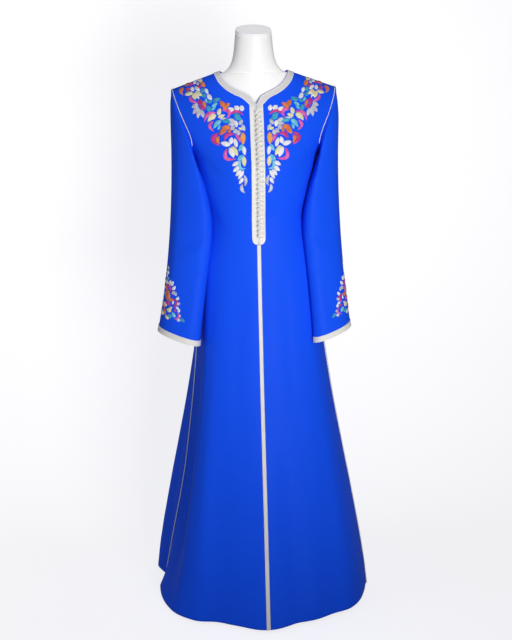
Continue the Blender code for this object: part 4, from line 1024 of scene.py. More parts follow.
class EffectNodes:
    """A node group that puts out a colour, a roughness and a height, with short ways to add its nodes."""

    def __init__(self, name, inputs):
        self.group = bpy.data.node_groups.new(name, "ShaderNodeTree")
        for label, value in inputs.items():
            kind = "Color" if isinstance(value, tuple) else "Float"
            self.add_socket(label, kind, "INPUT").default_value = value
        for label, kind in (("Colour", "Color"), ("Roughness", "Float"), ("Height", "Float")):
            self.add_socket(label, kind, "OUTPUT")
        self.source = self.group.nodes.new("NodeGroupInput").outputs
        self.sink = self.group.nodes.new("NodeGroupOutput").inputs
        coords = self.group.nodes.new("ShaderNodeTexCoord").outputs
        self.place, self.uv = coords["Object"], coords["UV"]

    def add_socket(self, label, kind, way):
        return self.group.interface.new_socket(name=label, in_out=way, socket_type="NodeSocket" + kind)

    def put(self, value, socket):
        """Links the value if it is a socket, or else sets it."""
        if isinstance(value, bpy.types.NodeSocket):
            self.group.links.new(value, socket)
        else:
            socket.default_value = value

    def math(self, operation, values, clamped=False):
        node = self.group.nodes.new("ShaderNodeMath")
        node.operation = operation
        node.use_clamp = clamped
        for socket, value in zip(node.inputs, values):
            self.put(value, socket)
        return node.outputs[0]

    def add(self, a, b):
        return self.math("ADD", (a, b))

    def less(self, a, b, clamped=False):
        return self.math("SUBTRACT", (a, b), clamped)

    def times(self, a, b, clamped=False):
        return self.math("MULTIPLY", (a, b), clamped)

    def mix(self, factor, a, b):
        """The colour a, or b where the factor is 1."""
        node = self.group.nodes.new("ShaderNodeMix")
        node.data_type = "RGBA"
        for i, value in ((0, factor), (6, a), (7, b)):
            self.put(value, node.inputs[i])
        return node.outputs[2]

    def noise(self, scale, detail=2.0, rough=0.5, vector=None):
        node = self.group.nodes.new("ShaderNodeTexNoise")
        values = {"Vector": vector or self.place, "Scale": scale, "Detail": detail, "Roughness": rough}
        for label, value in values.items():
            self.put(value, node.inputs[label])
        return node.outputs["Fac"]

    def uv_parts(self):
        parts = self.group.nodes.new("ShaderNodeSeparateXYZ")
        self.put(self.uv, parts.inputs[0])
        return parts.outputs[0], parts.outputs[1]

    def stripes(self, value, pitch):
        """Waves along a value, from 0 to 1, one in each pitch."""
        turn = self.math("DIVIDE", (self.times(value, 2 * math.pi), pitch))
        return self.add(self.times(self.math("SINE", (turn,)), 0.5), 0.5)

    def put_out(self, colour, shade, depth, rough, roughening, height):
        """Puts out the colour darkened by the shade, a mask of painted shade in low places and of random
        changes of tone as each group gives it, the roughness raised by a value, and the height.
        """
        node = self.group.nodes.new("ShaderNodeVectorMath")
        node.operation = "SCALE"
        self.put(colour, node.inputs[0])
        self.put(self.less(1.0, self.times(shade, depth)), node.inputs[3])
        self.put(node.outputs[0], self.sink["Colour"])
        self.put(self.add(self.source["Roughness"], self.times(rough, roughening)), self.sink["Roughness"])
        self.put(height, self.sink["Height"])


def fill_crepe(g):
    """Fine crossed threads, a pebbled crepe grain with painted shade in its pits, and slow changes of tone."""
    u, v = g.uv_parts()
    weave = g.times(g.stripes(u, g.source["Thread"]), g.stripes(v, g.source["Thread"]))
    grain = g.noise(620, 3, 0.6)
    slow = g.noise(5.5, 3)
    # Painted shade: the colour darkens where the grain lies low, and the slow noise adds random changes of
    # tone
    pit_shade = g.less(1.0, g.times(grain, 1.3, True), True)
    tone = g.times(g.add(pit_shade, slow), g.source["Pit shade and tone change"])
    height = g.add(g.times(weave, 0.45), g.times(grain, 0.8))
    g.put_out(g.source["Colour"], tone, 1.0, slow, 0.10, height)


def fill_braid(g):
    """Chevrons of cord on a ground, with plain corded edges past a distance from the middle, and painted shade
    in the grooves.
    """
    u, v = g.uv_parts()
    reach = g.math("ABSOLUTE", (u,))
    at_edge = g.times(g.less(reach, g.source["Edge starts"]), 2500, True)
    chevron = g.stripes(g.add(v, g.times(reach, 0.8)), g.source["Pitch"])
    fine = g.stripes(g.less(v, g.times(reach, 2.2)), 0.0007)
    body = g.add(g.times(chevron, 0.75), g.times(fine, 0.2))
    rib = g.times(g.stripes(g.add(v, u), 0.0011), 0.5)
    height = g.add(g.times(body, g.less(1.0, at_edge)), g.times(rib, at_edge))
    height = g.add(height, g.times(g.noise(900, 2, 0.6), 0.15))
    # Painted shade: the colour darkens where the weave lies low
    groove = g.less(1.0, height, True)
    base = g.mix(at_edge, g.source["Ground"], g.source["Edge"])
    g.put_out(base, groove, 0.22, groove, 0.2, height)


def fill_thread(g):
    """Slanted fibres and small specks on Object coordinates, for cords, knots and loops, with painted shade
    where the fibres lie low.
    """
    turn = g.group.nodes.new("ShaderNodeMapping")
    turn.inputs["Rotation"].default_value = (0.3, 0.9, 0.6)
    turn.inputs["Scale"].default_value = (1.0, 1.0, 0.18)
    g.put(g.place, turn.inputs["Vector"])
    fibre = g.noise(g.source["Fibre"], vector=turn.outputs[0])
    # Painted shade between the fibres, where their height is low
    shade = g.less(1.0, fibre, True)
    g.put_out(g.source["Colour"], shade, 0.28, shade, 0.15, fibre)


def fill_stitch(g):
    """Close threads laid aslant from a leaf's middle line, sunk along it, on the leaf's own UV map."""
    u, v = g.uv_parts()
    reach = g.math("ABSOLUTE", (v,))
    threads = g.stripes(g.add(u, g.times(reach, 0.9)), g.source["Thread"])
    vein = g.less(1.0, g.times(reach, 1400), True)
    height = g.less(threads, g.times(vein, 0.8))
    tone = g.times(g.less(g.noise(95), 0.30), 2.4, True)
    # Painted shade: the colour darkens in the gaps between the threads
    gap = g.less(1.0, threads, True)
    g.put_out(g.mix(tone, g.source["Colour"], g.source["Deep colour"]), gap, 0.16, gap, 0.12, height)


def fill_shell(g):
    """Satin lacquer on a moulded form: faint flow, fine orange peel and light scuffs."""
    g.put_out(g.source["Colour"], g.noise(9, 3), 0.04, g.noise(60, 4, 0.7), 0.12, g.noise(g.source["Peel"]))


# Each group's own inputs and the function that fills it. Colour or Ground is the base colour
EFFECTS = {
    "Satin crepe": (fill_crepe, {
        "Colour": (0.01, 0.08, 0.85, 1), "Thread": 0.0005, "Pit shade and tone change": 0.06, "Roughness": 0.45}),
    "Woven braid": (fill_braid, {
        "Ground": (0.62, 0.61, 0.60, 1), "Edge": (0.85, 0.85, 0.84, 1), "Edge starts": 0.006,
        "Pitch": 0.0028, "Roughness": 0.45}),
    "Spun thread": (fill_thread, {"Colour": (0.8, 0.8, 0.79, 1), "Fibre": 1400.0, "Roughness": 0.45}),
    "Satin stitch": (fill_stitch, {
        "Colour": (0.8, 0.8, 0.8, 1), "Deep colour": (0.5, 0.5, 0.5, 1), "Thread": 0.00042,
        "Roughness": 0.32}),
    "Lacquered shell": (fill_shell, {"Colour": (0.86, 0.86, 0.85, 1), "Roughness": 0.38, "Peel": 240.0}),
}


def effect_group(name):
    """The node group of this name, built on its first use."""
    if name not in bpy.data.node_groups:
        fill, inputs = EFFECTS[name]
        fill(EffectNodes(name, inputs))
    return bpy.data.node_groups[name]


def finish(name, effect, values, bump, distance, **plain):
    """A material: a group's colour, roughness and height in a shader with plain numbers elsewhere.

    The bump is its strength, and the distance the height that it stands for, in metres.
    """
    if name in bpy.data.materials:
        return bpy.data.materials[name]
    made = bpy.data.materials.new(name)
    made.use_nodes = True
    tree = made.node_tree
    shader = tree.nodes["Principled BSDF"]
    look = tree.nodes.new("ShaderNodeGroup")
    look.node_tree = effect_group(effect)
    for label, value in values.items():
        look.inputs[label].default_value = value
    raised = tree.nodes.new("ShaderNodeBump")
    raised.inputs["Strength"].default_value = bump
    raised.inputs["Distance"].default_value = distance
    tree.links.new(look.outputs["Height"], raised.inputs["Height"])
    tree.links.new(raised.outputs[0], shader.inputs["Normal"])
    tree.links.new(look.outputs["Colour"], shader.inputs["Base Color"])
    tree.links.new(look.outputs["Roughness"], shader.inputs["Roughness"])
    for label, value in plain.items():
        shader.inputs[label.replace("_", " ")].default_value = value
    return made


def opaque(colour):
    return (*colour, 1.0)


def cloth_finish():
    return finish(
        "Royal blue satin crepe", "Satin crepe", {"Colour": opaque(colours().cloth), "Roughness": 0.46},
        0.25, 0.00012, Sheen_Weight=0.08, Sheen_Roughness=0.4, Sheen_Tint=(0.02, 0.16, 1.0, 1.0),
        Specular_IOR_Level=0.04)


def braid_finish(name, ground, edge, starts, pitch=0.0028):
    return finish(
        name, "Woven braid",
        {"Ground": opaque(ground), "Edge": opaque(edge), "Edge starts": starts, "Pitch": pitch,
         "Roughness": 0.42},
        0.6, 0.0004, Sheen_Weight=0.1, Specular_IOR_Level=0.5)


def cord_finish():
    return finish(
        "White twisted cord", "Spun thread", {"Colour": opaque(colours().cord)},
        0.4, 0.0002, Sheen_Weight=0.1)


THREADS = {
    "white": ((0.90, 0.90, 0.93), (0.74, 0.74, 0.80)),
    "silver": ((0.66, 0.68, 0.76), (0.46, 0.47, 0.55)),
    "cream": ((0.86, 0.83, 0.52), (0.72, 0.66, 0.33)),
    "magenta": ((0.72, 0.03, 0.30), (0.42, 0.01, 0.17)),
    "pink": ((0.90, 0.16, 0.56), (0.62, 0.04, 0.32)),
    "orange": ((0.86, 0.24, 0.035), (0.62, 0.12, 0.02)),
    "amber": ((0.92, 0.42, 0.10), (0.80, 0.28, 0.05)),
    "teal": ((0.03, 0.42, 0.66), (0.015, 0.24, 0.46)),
    "cyan": ((0.22, 0.66, 0.86), (0.08, 0.46, 0.70)),
}


def thread_finishes():
    made = []
    for name, (colour, deep) in THREADS.items():
        made.append(finish(
            f"Silk thread {name}", "Satin stitch", {"Colour": opaque(colour), "Deep colour": opaque(deep)},
            0.5, 0.00025, Sheen_Weight=0.15, Specular_IOR_Level=0.5))
    return made


# Stage, light and camera

CAMERA_DISTANCE = 3.0
CAMERA_AIM_HEIGHT = 1.5
CAMERA_SWING = math.radians(-4)
CAMERA_DOWN = math.radians(13.14)
CAMERA_ROLL = math.radians(-0.84)
CAMERA_LENS = 63.2
CAMERA_SHIFT = -0.0019


def add_camera():
    data = bpy.data.cameras.new("Camera")
    data.lens = CAMERA_LENS
    data.sensor_width = 36
    data.sensor_fit = "AUTO"
    data.shift_x = CAMERA_SHIFT
    data.clip_end = 50
    camera = bpy.data.objects.new("Camera", data)
    place = Vector((math.sin(CAMERA_SWING) * CAMERA_DISTANCE, -math.cos(CAMERA_SWING) * CAMERA_DISTANCE, 0))
    place.z = CAMERA_AIM_HEIGHT
    turn = (
        Matrix.Rotation(CAMERA_SWING, 4, "Z")
        @ Matrix.Rotation(math.pi / 2 - CAMERA_DOWN, 4, "X")
        @ Matrix.Rotation(CAMERA_ROLL, 4, "Z")
    )
    camera.matrix_world = Matrix.Translation(place) @ turn
    bpy.context.scene.collection.objects.link(camera)
    bpy.context.scene.camera = camera


def add_light(name, place, aim, power, size, colour, spread):
    data = bpy.data.lights.new(name, "AREA")
    data.energy = power
    data.spread = math.radians(spread)
    data.shape = "RECTANGLE"
    data.size, data.size_y = size
    data.color = colour
    lamp = bpy.data.objects.new(name, data)
    turn = (Vector(aim) - Vector(place)).to_track_quat("-Z", "Y").to_matrix().to_4x4()
    lamp.matrix_world = Matrix.Translation(Vector(place)) @ turn
    bpy.context.scene.collection.objects.link(lamp)


def clear_from_behind(material):
    """Makes the back faces clear, so that a view from behind the wall looks through it."""
    tree = material.node_tree
    faces = tree.nodes.new("ShaderNodeNewGeometry")
    front = tree.nodes.new("ShaderNodeMath")
    front.operation = "SUBTRACT"
    front.inputs[0].default_value = 1.0
    tree.links.new(faces.outputs["Backfacing"], front.inputs[1])
    tree.links.new(front.outputs[0], tree.nodes["Principled BSDF"].inputs["Alpha"])


# The backdrop's floor bends up into its wall from this distance behind the kaftan, and at this radius
BEND_START = 0.35
BEND_RADIUS = 0.5


def add_backdrop():
    """A pale floor that turns up into a wall close behind."""
    bm = bmesh.new()
    bmesh.ops.create_grid(bm, x_segments=2, y_segments=40, size=1.0)
    for vert in bm.verts:
        row = (vert.co.y + 1) / 2 * 40
        vert.co.x *= 6.0
        if row <= 16:
            vert.co.y, vert.co.z = lerp(-5.0, BEND_START, row / 16), 0.0
        elif row <= 32:
            turn = (row - 16) / 16 * math.pi / 2
            vert.co.y = BEND_START + BEND_RADIUS * math.sin(turn)
            vert.co.z = BEND_RADIUS * (1 - math.cos(turn))
        else:
            vert.co.y = BEND_START + BEND_RADIUS
            vert.co.z = lerp(BEND_RADIUS, 6.0, (row - 32) / 8)
    for vert in bm.verts:
        vert.co.z -= 0.0005
    bm.normal_update()
    paper = finish(
        "Backdrop paper", "Lacquered shell",
        {"Colour": (0.42, 0.42, 0.43, 1), "Roughness": 0.8, "Peel": 90.0},
        0.05, 0.0002, Specular_IOR_Level=0.0, Emission_Color=(0.98, 0.98, 1, 1), Emission_Strength=0.78)
    clear_from_behind(paper)
    backdrop = new_object("backdrop", bm, paper)
    backdrop.visible_diffuse = False
    backdrop.visible_glossy = False


def light_world():
    world = bpy.data.worlds.new("Studio")
    world.use_nodes = True
    sky = world.node_tree.nodes["Background"]
    sky.inputs["Color"].default_value = (0.97, 0.98, 1.0, 1)
    sky.inputs["Strength"].default_value = 0.22
    bpy.context.scene.world = world


class KAFTAN_OT_stage(bpy.types.Operator):
    """Add the pale backdrop, the soft studio lights and the camera"""

    bl_idname = "kaftan.stage"
    bl_label = "Stage"

    def execute(self, context):
        context.scene.view_settings.view_transform = "Standard"
        add_backdrop()
        light_world()
        add_light("Key light", (0.55, -2.3, 0.95), (0, 0, 1.21), 9.8, (0.9, 0.9), (1.0, 0.99, 0.98), 78)
        add_light("Side fill", (-2.2, -0.7, 1.1), (-0.2, 0, 0.9), 7, (1.2, 1.2), (0.97, 0.98, 1.0), 180)
        add_light("Top light", (0, -0.25, 3.1), (0, 0, 1.5), 0.07, (0.1, 0.1), (1.0, 1.0, 1.0), 12)
        add_camera()
        return {"FINISHED"}


# Dress form

class KAFTAN_OT_dress_form(bpy.types.Operator):
    """Add the smooth lacquered form with its neck cap, and finish its stand"""

    bl_idname = "kaftan.dress_form"
    bl_label = "Dress form"

    def execute(self, context):
        shell = finish(
            "White lacquer", "Lacquered shell", {"Colour": opaque(colours().form), "Roughness": 0.34},
            0.06, 0.0002, Specular_IOR_Level=0.45, Coat_Weight=0.15, Coat_Roughness=0.25)
        torso = smooth_copy("dress_form_shell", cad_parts["form_torso"], shell, 55)
        ride(torso, "form_torso")
        cap_finish = finish(
            "Pale grey cap lacquer", "Lacquered shell", {"Colour": opaque(colours().cap), "Roughness": 0.42},
            0.06, 0.0002, Specular_IOR_Level=0.4)
        cap = smooth_copy("dress_form_cap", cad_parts["form_neck_cap"], cap_finish, 40)
        ride(cap, "form_neck_cap")
        metal = finish(
            "Brushed steel", "Lacquered shell",
            {"Colour": (0.55, 0.56, 0.58, 1), "Roughness": 0.30, "Peel": 700.0},
            0.12, 0.0002, Metallic=1.0)
        for name in ("stand_base", "stand_pole", "stand_flange"):
            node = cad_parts[name]
            node.data.materials.clear()
            node.data.materials.append(metal)
        return {"FINISHED"}


def smooth_copy(name, node, made, crease_angle):
    """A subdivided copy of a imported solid, with its sharp edges kept."""
    bm = bmesh.new()
    bm.from_mesh(node.data)
    bmesh.ops.remove_doubles(bm, verts=bm.verts, dist=0.00001)
    bmesh.ops.dissolve_limit(bm, angle_limit=0.0005, verts=bm.verts, edges=bm.edges)
    bmesh.ops.join_triangles(
        bm, faces=[f for f in bm.faces if len(f.verts) == 3], cmp_seam=False, cmp_sharp=False, cmp_uvs=False,
        cmp_vcols=False, cmp_materials=False, angle_face_threshold=math.radians(35),
        angle_shape_threshold=math.radians(70))
    layer = bm.edges.layers.float.get("crease_edge") or bm.edges.layers.float.new("crease_edge")
    for edge in bm.edges:
        if len(edge.link_faces) == 2 and edge.calc_face_angle() > math.radians(crease_angle):
            edge[layer] = 1.0
    bmesh.ops.recalc_face_normals(bm, faces=bm.faces)
    obj = new_object(name, bm, made)
    rounder = obj.modifiers.new("Smooth form", "SUBSURF")
    rounder.levels = 2
    rounder.render_levels = 2
    return obj


# Cloth


def panel_rows(side, hand):
    panel = Cloth.panel(side, hand)
    return [[turned(panel.place(c, r)[0], hand) for c in fine_columns()] for r in fine_rows(panel)]


def add_cloth(name, rows, node, wrap=False):
    bm = grid_mesh(rows, wrap=wrap)
    middle = Vector((0, 0, 0.8))
    if wrap:
        middle = sum((sum(row, Vector()) for row in rows), Vector()) / (len(rows) * len(rows[0]))
    face_outwards(bm, middle)
    obj = new_object(name, bm, cloth_finish())
    thicken(obj, sizes().cloth_thickness)
    ride(obj, node)


class KAFTAN_OT_body(bpy.types.Operator):
    """Add the two front panels and the back as thin cloth with its folds and soft creases"""

    bl_idname = "kaftan.body"
    bl_label = "Body cloth"

    def execute(self, context):
        for hand in (1, -1):
            name = hand_name(hand)
            add_cloth("cloth_front_" + name, panel_rows("front", hand), "front_" + name)
        right, left = panel_rows("back", 1), panel_rows("back", -1)
        rows = [list(reversed(a)) + b[1:] for a, b in zip(right, left)]
        add_cloth("cloth_back", rows, "back")
        return {"FINISHED"}


class KAFTAN_OT_sleeves(bpy.types.Operator):
    """Add both sleeves as thin cloth from the armhole to the cuff"""

    bl_idname = "kaftan.sleeves"
    bl_label = "Sleeves"

    def execute(self, context):
        for hand in (1, -1):
            name = "sleeve_" + hand_name(hand)
            rows = [[turned(p, hand) for p in row] for row in Cloth.sleeve(hand)[0]]
            add_cloth("cloth_" + name, rows, name, wrap=True)
        return {"FINISHED"}


# Braids

def station_at(side, hand, edge_a, edge_b):
    """A braid's station between two places of a panel, each a (column, row)."""
    panel = Cloth.panel(side, hand)

    def at(share):
        t = (share + 1) / 2
        point, normal = panel.place(lerp(edge_a[0], edge_b[0], t), lerp(edge_a[1], edge_b[1], t))
        return turned(point, hand), turned(normal, hand)
    return at


def between(a, b):
    """The station midway between two stations."""
    def at(share):
        (p, n), (q, m) = a(share), b(share)
        return (p + q) / 2, (n + m).normalized()
    return at


def neck_stations(hand):
    """Stations of the neck braid on one side, from the slit over the shoulder to the centre back."""
    last = Cloth.panel("front", hand).last_row
    columns = [c for c in fine_columns() if c <= NECK_COLUMNS]
    stations = [station_at("front", hand, (c, last - 1), (c, last)) for c in columns]
    fan = [i / 4 for i in range(1, 5)]

    def corner(side, k):
        return station_at(side, hand, (NECK_COLUMNS + k, last - 1 + k), (NECK_COLUMNS, last))
    stations += [corner("front", k) for k in fan[:-1]]
    stations.append(between(corner("front", 1.0), corner("back", 1.0)))
    stations += [corner("back", k) for k in reversed(fan[:-1])]
    back = [c for c in fine_columns() if c <= NECK_COLUMNS]
    return stations + [station_at("back", hand, (c, last - 1), (c, last)) for c in reversed(back)]


def placket_share(z):
    """The placket narrows to a round end over its lowest stretch."""
    rise = clamp((z - PLACKET_BOTTOM) / PLACKET_HALF_WIDTH)
    return lerp(0.30, 1.0, math.sqrt(1 - (1 - rise) ** 2))


def placket_stations(hand):
    panel = Cloth.panel("front", hand)
    top = panel.last_row - 1
    low = panel.row_at(PLACKET_BOTTOM)
    shares = [0, 0.002, 0.006, 0.012, 0.02, 0.03, 0.04] + [0.05 + 0.95 * i / 56 for i in range(57)]
    stations = []
    for share in shares:
        row = lerp(low, top, share)
        z = panel.base(0.0, row).z
        stations.append(station_at("front", hand, (0.0, row), (placket_share(z), row)))
    return stations


def centre_stations():
    right, left = Cloth.panel("front", 1), Cloth.panel("front", -1)
    top = right.row_at(PLACKET_BOTTOM - SEAM_GAP)
    count = 150
    stations = []
    for i in range(count + 1):
        row = top * i / count
        edge_x = right.base(1.0, row).x

        def at(share, row=row, edge_x=edge_x):
            column = abs(share) * CENTRE_BRAID_HALF_WIDTH / edge_x
            panel, hand = (right, 1) if share >= 0 else (left, -1)
            point, normal = panel.place(column, row)
            if share == 0:
                point.x, normal.x = 0.0, 0.0
            return turned(point, hand), turned(normal, hand).normalized()
        stations.append(at)
    return stations


def cuff_stations(hand):
    rows, normals, marks = Cloth.sleeve(hand)
    top, foot = marks[-2], marks[-1]

    def station(k):
        def at(share):
            place = lerp(foot, top, (share + 1) / 2)
            r = min(int(place), foot - 1)
            t = place - r
            point = rows[r][k].lerp(rows[r + 1][k], t)
            normal = normals[r][k].lerp(normals[r + 1][k], t).normalized()
            return turned(point, hand), turned(normal, hand)
        return at
    return [station(k) for k in range(len(rows[0]))]


class KAFTAN_OT_braids(bpy.types.Operator):
    """Add the woven braids of the neck, the placket, the centre front and the cuffs"""

    bl_idname = "kaftan.braids"
    bl_label = "Braids"

    def execute(self, context):
        ground, edge = colours().braid_ground, colours().braid_edge
        plain = colours().placket
        neck = braid_finish("Silver white neck braid", ground, edge, 0.0056)
        band = braid_finish("Ivory placket braid", plain, edge, 0.0062, 0.0024)
        cuff = braid_finish("Cream white cuff braid", plain, edge, 0.0054, 0.0026)
        stations = neck_stations(1) + neck_stations(-1)[::-1][1:]
        self.add("neck", "neck_braid", stations, FLAT_BRAID, NECK_BRAID_WIDTH / 2, neck)
        for hand in (1, -1):
            name = hand_name(hand)
            self.add(
                "placket_" + name, "placket_" + name, placket_stations(hand), FLAT_BRAID,
                PLACKET_HALF_WIDTH / 2, band)
            self.add(
                "cuff_" + name, "cuff_braid_" + name, cuff_stations(hand), FLAT_BRAID,
                CUFF_BRAID_HALF_WIDTH, cuff, closed=True)
        self.add(
            "centre", "centre_braid", centre_stations(), NARROW_BRAID, CENTRE_BRAID_HALF_WIDTH,
            braid_finish("White centre braid", plain, edge, 0.0030, 0.0022))
        return {"FINISHED"}

    def add(self, name, node, stations, profile, half_width, made, closed=False):
        braid = ribbon(
            "braid_" + name, stations, profile, sizes().braid_thickness, half_width, made, closed)
        ride(braid, node)


# Cords

# Height above which each side cord sinks into its seam, under the arm
SIDE_CORD_SINKS = 1.08


def seam_path(hand):
    front, back = Cloth.panel("front", hand), Cloth.panel("back", hand)
    radius = sizes().side_cord_radius
    path, normals = [], []
    for i in range(161):
        row = front.foot_row * i / 160
        (p, n), (q, m) = front.place(COLUMNS, row), back.place(COLUMNS, row)
        out = (n + m).normalized()
        lift = lerp(SEAM_GAP * 1.5 + radius, -radius * 1.2, smooth((p.z - SIDE_CORD_SINKS) / 0.05))
        path.append(turned((p + q) / 2 + out * lift, hand))
        normals.append(turned(out, hand))
    return path, normals


# Points of the armhole cord's path for each one of the armhole's ring
ARMHOLE_PARTS = 6


def armhole_path(hand):
    ring = armhole_ring(Cloth.panel("front", hand), Cloth.panel("back", hand))
    radius = sizes().armhole_cord_radius
    half = len(ring) // 2
    order = list(range(half - 3, -1, -1)) + list(range(len(ring) - 1, half + 3, -1))
    points = [ring[k][0] + ring[k][1] * (SEAM_GAP + radius) for k in order]
    normals = []
    for k, after in zip(order, order[1:]):
        normals += [ring[k][1].lerp(ring[after][1], t).normalized() for t in steps(0, 1, ARMHOLE_PARTS)]
    normals.append(ring[order[-1]][1])
    path = rounded(points, ARMHOLE_PARTS)
    return [turned(p, hand) for p in path], [turned(n, hand) for n in normals]


def twisted_cord(name, path, normals, radius, pitch, node):
    strands = [
        cord_mesh(f"{name}_{k}", strand, radius * STRAND_RADIUS, cord_finish())
        for k, strand in enumerate(twisted_strands(path, normals, radius, pitch))
    ]
    obj = joined(name, strands)
    ride(obj, node)


class KAFTAN_OT_cords(bpy.types.Operator):
    """Add the twisted cords on the side seams and round the armholes"""

    bl_idname = "kaftan.cords"
    bl_label = "Seam cords"

    def execute(self, context):
        for hand in (1, -1):
            name = hand_name(hand)
            twisted_cord(
                "cord_side_" + name, *seam_path(hand), sizes().side_cord_radius, sizes().cord_pitch,
                "side_cord_" + name)
            twisted_cord(
                "cord_armhole_" + name, *armhole_path(hand), sizes().armhole_cord_radius,
                sizes().cord_pitch * 0.8, "armhole_cord_" + name)
        return {"FINISHED"}


# Buttons and loops

# The upper half of a button's loop from its open end to its tip, and the whole loop: place across and rise
LOOP_TOP = [(0.0122, 0.0040), (0.0085, 0.0046), (0.0035, 0.0053), (0.0, 0.0055), (-0.0040, 0.0040)]
LOOP = LOOP_TOP + [(-0.0056, 0.0)] + [(x, -rise) for x, rise in LOOP_TOP[::-1]]


def button_places():
    """Each button's place on the centre front, and the way that it faces."""
    panel = Cloth.panel("front", 1)
    places = []
    z = TOP_BUTTON_HEIGHT
    for _ in range(BUTTON_COUNT):
        point, normal = panel.place(0.0, panel.row_at(z))
        normal = Vector((0, normal.y, normal.z)).normalized()
        places.append((Vector((0, point.y, point.z)), normal))
        z -= BUTTON_PITCH * abs(normal.y)
    return places


def over_braids():
    """How far the outside of the placket's braids lies over the cloth."""
    return SEAM_GAP * 2 + sizes().braid_thickness


# A knot's grooves: how many go round it, how far they lean, how narrow and how deep they are
GROOVE_COUNT = 3
GROOVE_LEAN = 4.5
GROOVE_NARROWNESS = 2.4
GROOVE_DEPTH = 0.085


def knot_mesh(radius):
    """A knotted button: a ball with the crossed grooves of a cord wound over and under itself."""
    bm = bmesh.new()
    bmesh.ops.create_uvsphere(bm, u_segments=20, v_segments=14, radius=radius)
    for vert in bm.verts:
        way = vert.co.normalized()
        turn = math.atan2(way.x, way.z)
        lean = math.asin(max(-1.0, min(1.0, way.y)))
        over, under = [
            max(0.0, 1 - abs(math.sin(turn * GROOVE_COUNT + lean * slant)) * GROOVE_NARROWNESS)
            for slant in (GROOVE_LEAN, -GROOVE_LEAN)
        ]
        vert.co = way * radius * (1 - GROOVE_DEPTH * min(1.2, over + 0.8 * under))
        vert.co.y *= 0.96
    return bm


class KAFTAN_OT_buttons(bpy.types.Operator):
    """Add the row of knotted cord buttons and the loops that hold them"""

    bl_idname = "kaftan.buttons"
    bl_label = "Buttons and loops"

    def execute(self, context):
        places = button_places()
        radius = sizes().button_radius
        knots = bmesh.new()
        for i, (point, normal) in enumerate(places):
            one = knot_mesh(radius)
            turn = Vector((0, -1, 0)).rotation_difference(normal).to_matrix().to_4x4()
            spin = Matrix.Rotation(0.35 * math.sin(i * 2.3), 4, "Y")
            centre = point + normal * (over_braids() + radius)
            one.transform(Matrix.Translation(centre) @ turn @ spin)
            add_into(knots, one)
        thread = finish(
            "Ivory knot thread", "Spun thread", {"Colour": opaque(colours().button), "Fibre": 1200.0},
            0.4, 0.0002, Sheen_Weight=0.1)
        buttons = new_object("knot_buttons", knots, thread)
        ride(buttons, *[f"button_{i:02d}" for i in range(1, BUTTON_COUNT + 1)])
        self.add_loops(places)
        return {"FINISHED"}

    def add_loops(self, places):
        panel = Cloth.panel("front", 1)
        thick = sizes().loop_radius
        lift = over_braids() + thick
        path = []
        for point, _ in places:
            for x, rise in LOOP:
                row = panel.row_at(point.z + rise)
                column = abs(x) / panel.base(1.0, row).x
                place, normal = panel.place(column, row)
                path.append(turned(place + normal * lift, 1 if x >= 0 else -1))
        loops = cord_mesh("cord_loops", rounded(path, 3), thick, cord_finish())
        ride(loops, "button_loops")


# Embroidery

def surface_of(*names):
    """A ray target from the cloth's outer faces, before their thickness."""
    bm = bmesh.new()
    for name in names:
        bm.from_mesh(bpy.data.objects[name].data)
    tree = BVHTree.FromBMesh(bm)
    bm.free()
    return tree


def on_cloth(tree, x, z, facing):
    """The point and normal of the cloth at x, z seen from the front (-1) or the back (1)."""
    point, normal, _, _ = tree.ray_cast(Vector((x, facing * 1.5, z)), Vector((0, -facing, 0)))
    if point is None:
        point, normal, _, _ = tree.find_nearest(Vector((x, facing * 0.05, z)))
    return point, normal


# How much wider than its stated width a leaf is sewn
STITCH_FULLNESS = 1.15


def leaf_mesh(stitch, tree, facing, shift, mirrored):
    """One satin-stitched leaf, laid on the cloth."""
    base, middle, tip = stitch.base, stitch.middle, stitch.tip
    width = stitch.width * STITCH_FULLNESS
    bm = bmesh.new()
    bmesh.ops.create_uvsphere(bm, u_segments=10, v_segments=8, radius=1.0)
    start, end = Vector(base), Vector(tip)
    bend = Vector(middle) * 2 - (start + end) / 2
    length = (end - start).length
    height = min(sizes().stitch_height, width * 0.20)
    spots = {}
    for vert in bm.verts:
        share = math.acos(max(-1.0, min(1.0, -vert.co.z))) / math.pi
        ring = math.hypot(vert.co.x, vert.co.y)
        across = vert.co.x / ring if ring > 1e-6 else 0.0
        rise = vert.co.y / ring if ring > 1e-6 else 0.0
        spread = math.sin(math.pi * share ** 0.86) ** 0.82
        flat = start.lerp(bend, share).lerp(bend.lerp(end, share), share)
        along = (bend - start).lerp(end - bend, share)
        side = Vector((-along.y, along.x)).normalized()
        place = flat + side * across * spread * width / 2
        x = place.x / 1000 + shift(place.y / 1000)
        point, normal = on_cloth(tree, -x if mirrored else x, place.y / 1000, facing)
        lift = height / 1000 * rise * spread if rise > 0 else 0.0004 * rise
        vert.co = point + normal * (0.0001 + lift)
        spots[vert] = (length * share / 1000, across * spread * width / 2000)
    lay_uv(bm, spots)
    thread = list(THREADS).index(stitch.thread)
    for face in bm.faces:
        face.material_index = thread
    bmesh.ops.recalc_face_normals(bm, faces=bm.faces)
    return bm


def add_stitches(name, table, cloths, facings, shift, mirrored):
    tree = surface_of(*cloths)
    whole = bmesh.new()
    for facing in facings:
        for row in table:
            stitch = Stitch(row[0], row[1:3], row[3:5], row[5:7], row[7])
            add_into(whole, leaf_mesh(stitch, tree, facing, shift, mirrored))
    obj = new_object(name, whole, *thread_finishes())
    ride(obj)


def no_shift(_):
    return 0.0


def right_chest_shift(z):
    """The right half of the chest stitching leans further in towards its lower tip."""
    return -0.0112 * clamp((1.405 - z) / 0.235)


def left_sleeve_shift(z):
    """How much further out the left sleeve hangs than the right one, less the stitching's turn inwards."""
    top = SLEEVE_RINGS[0].outer_z
    down = clamp((top - z) / (top - SLEEVE_RINGS[-1].outer_z))
    return (SLEEVE_OUT[-1][1] - SLEEVE_OUT[1][1]) * down ** 2 - 0.010


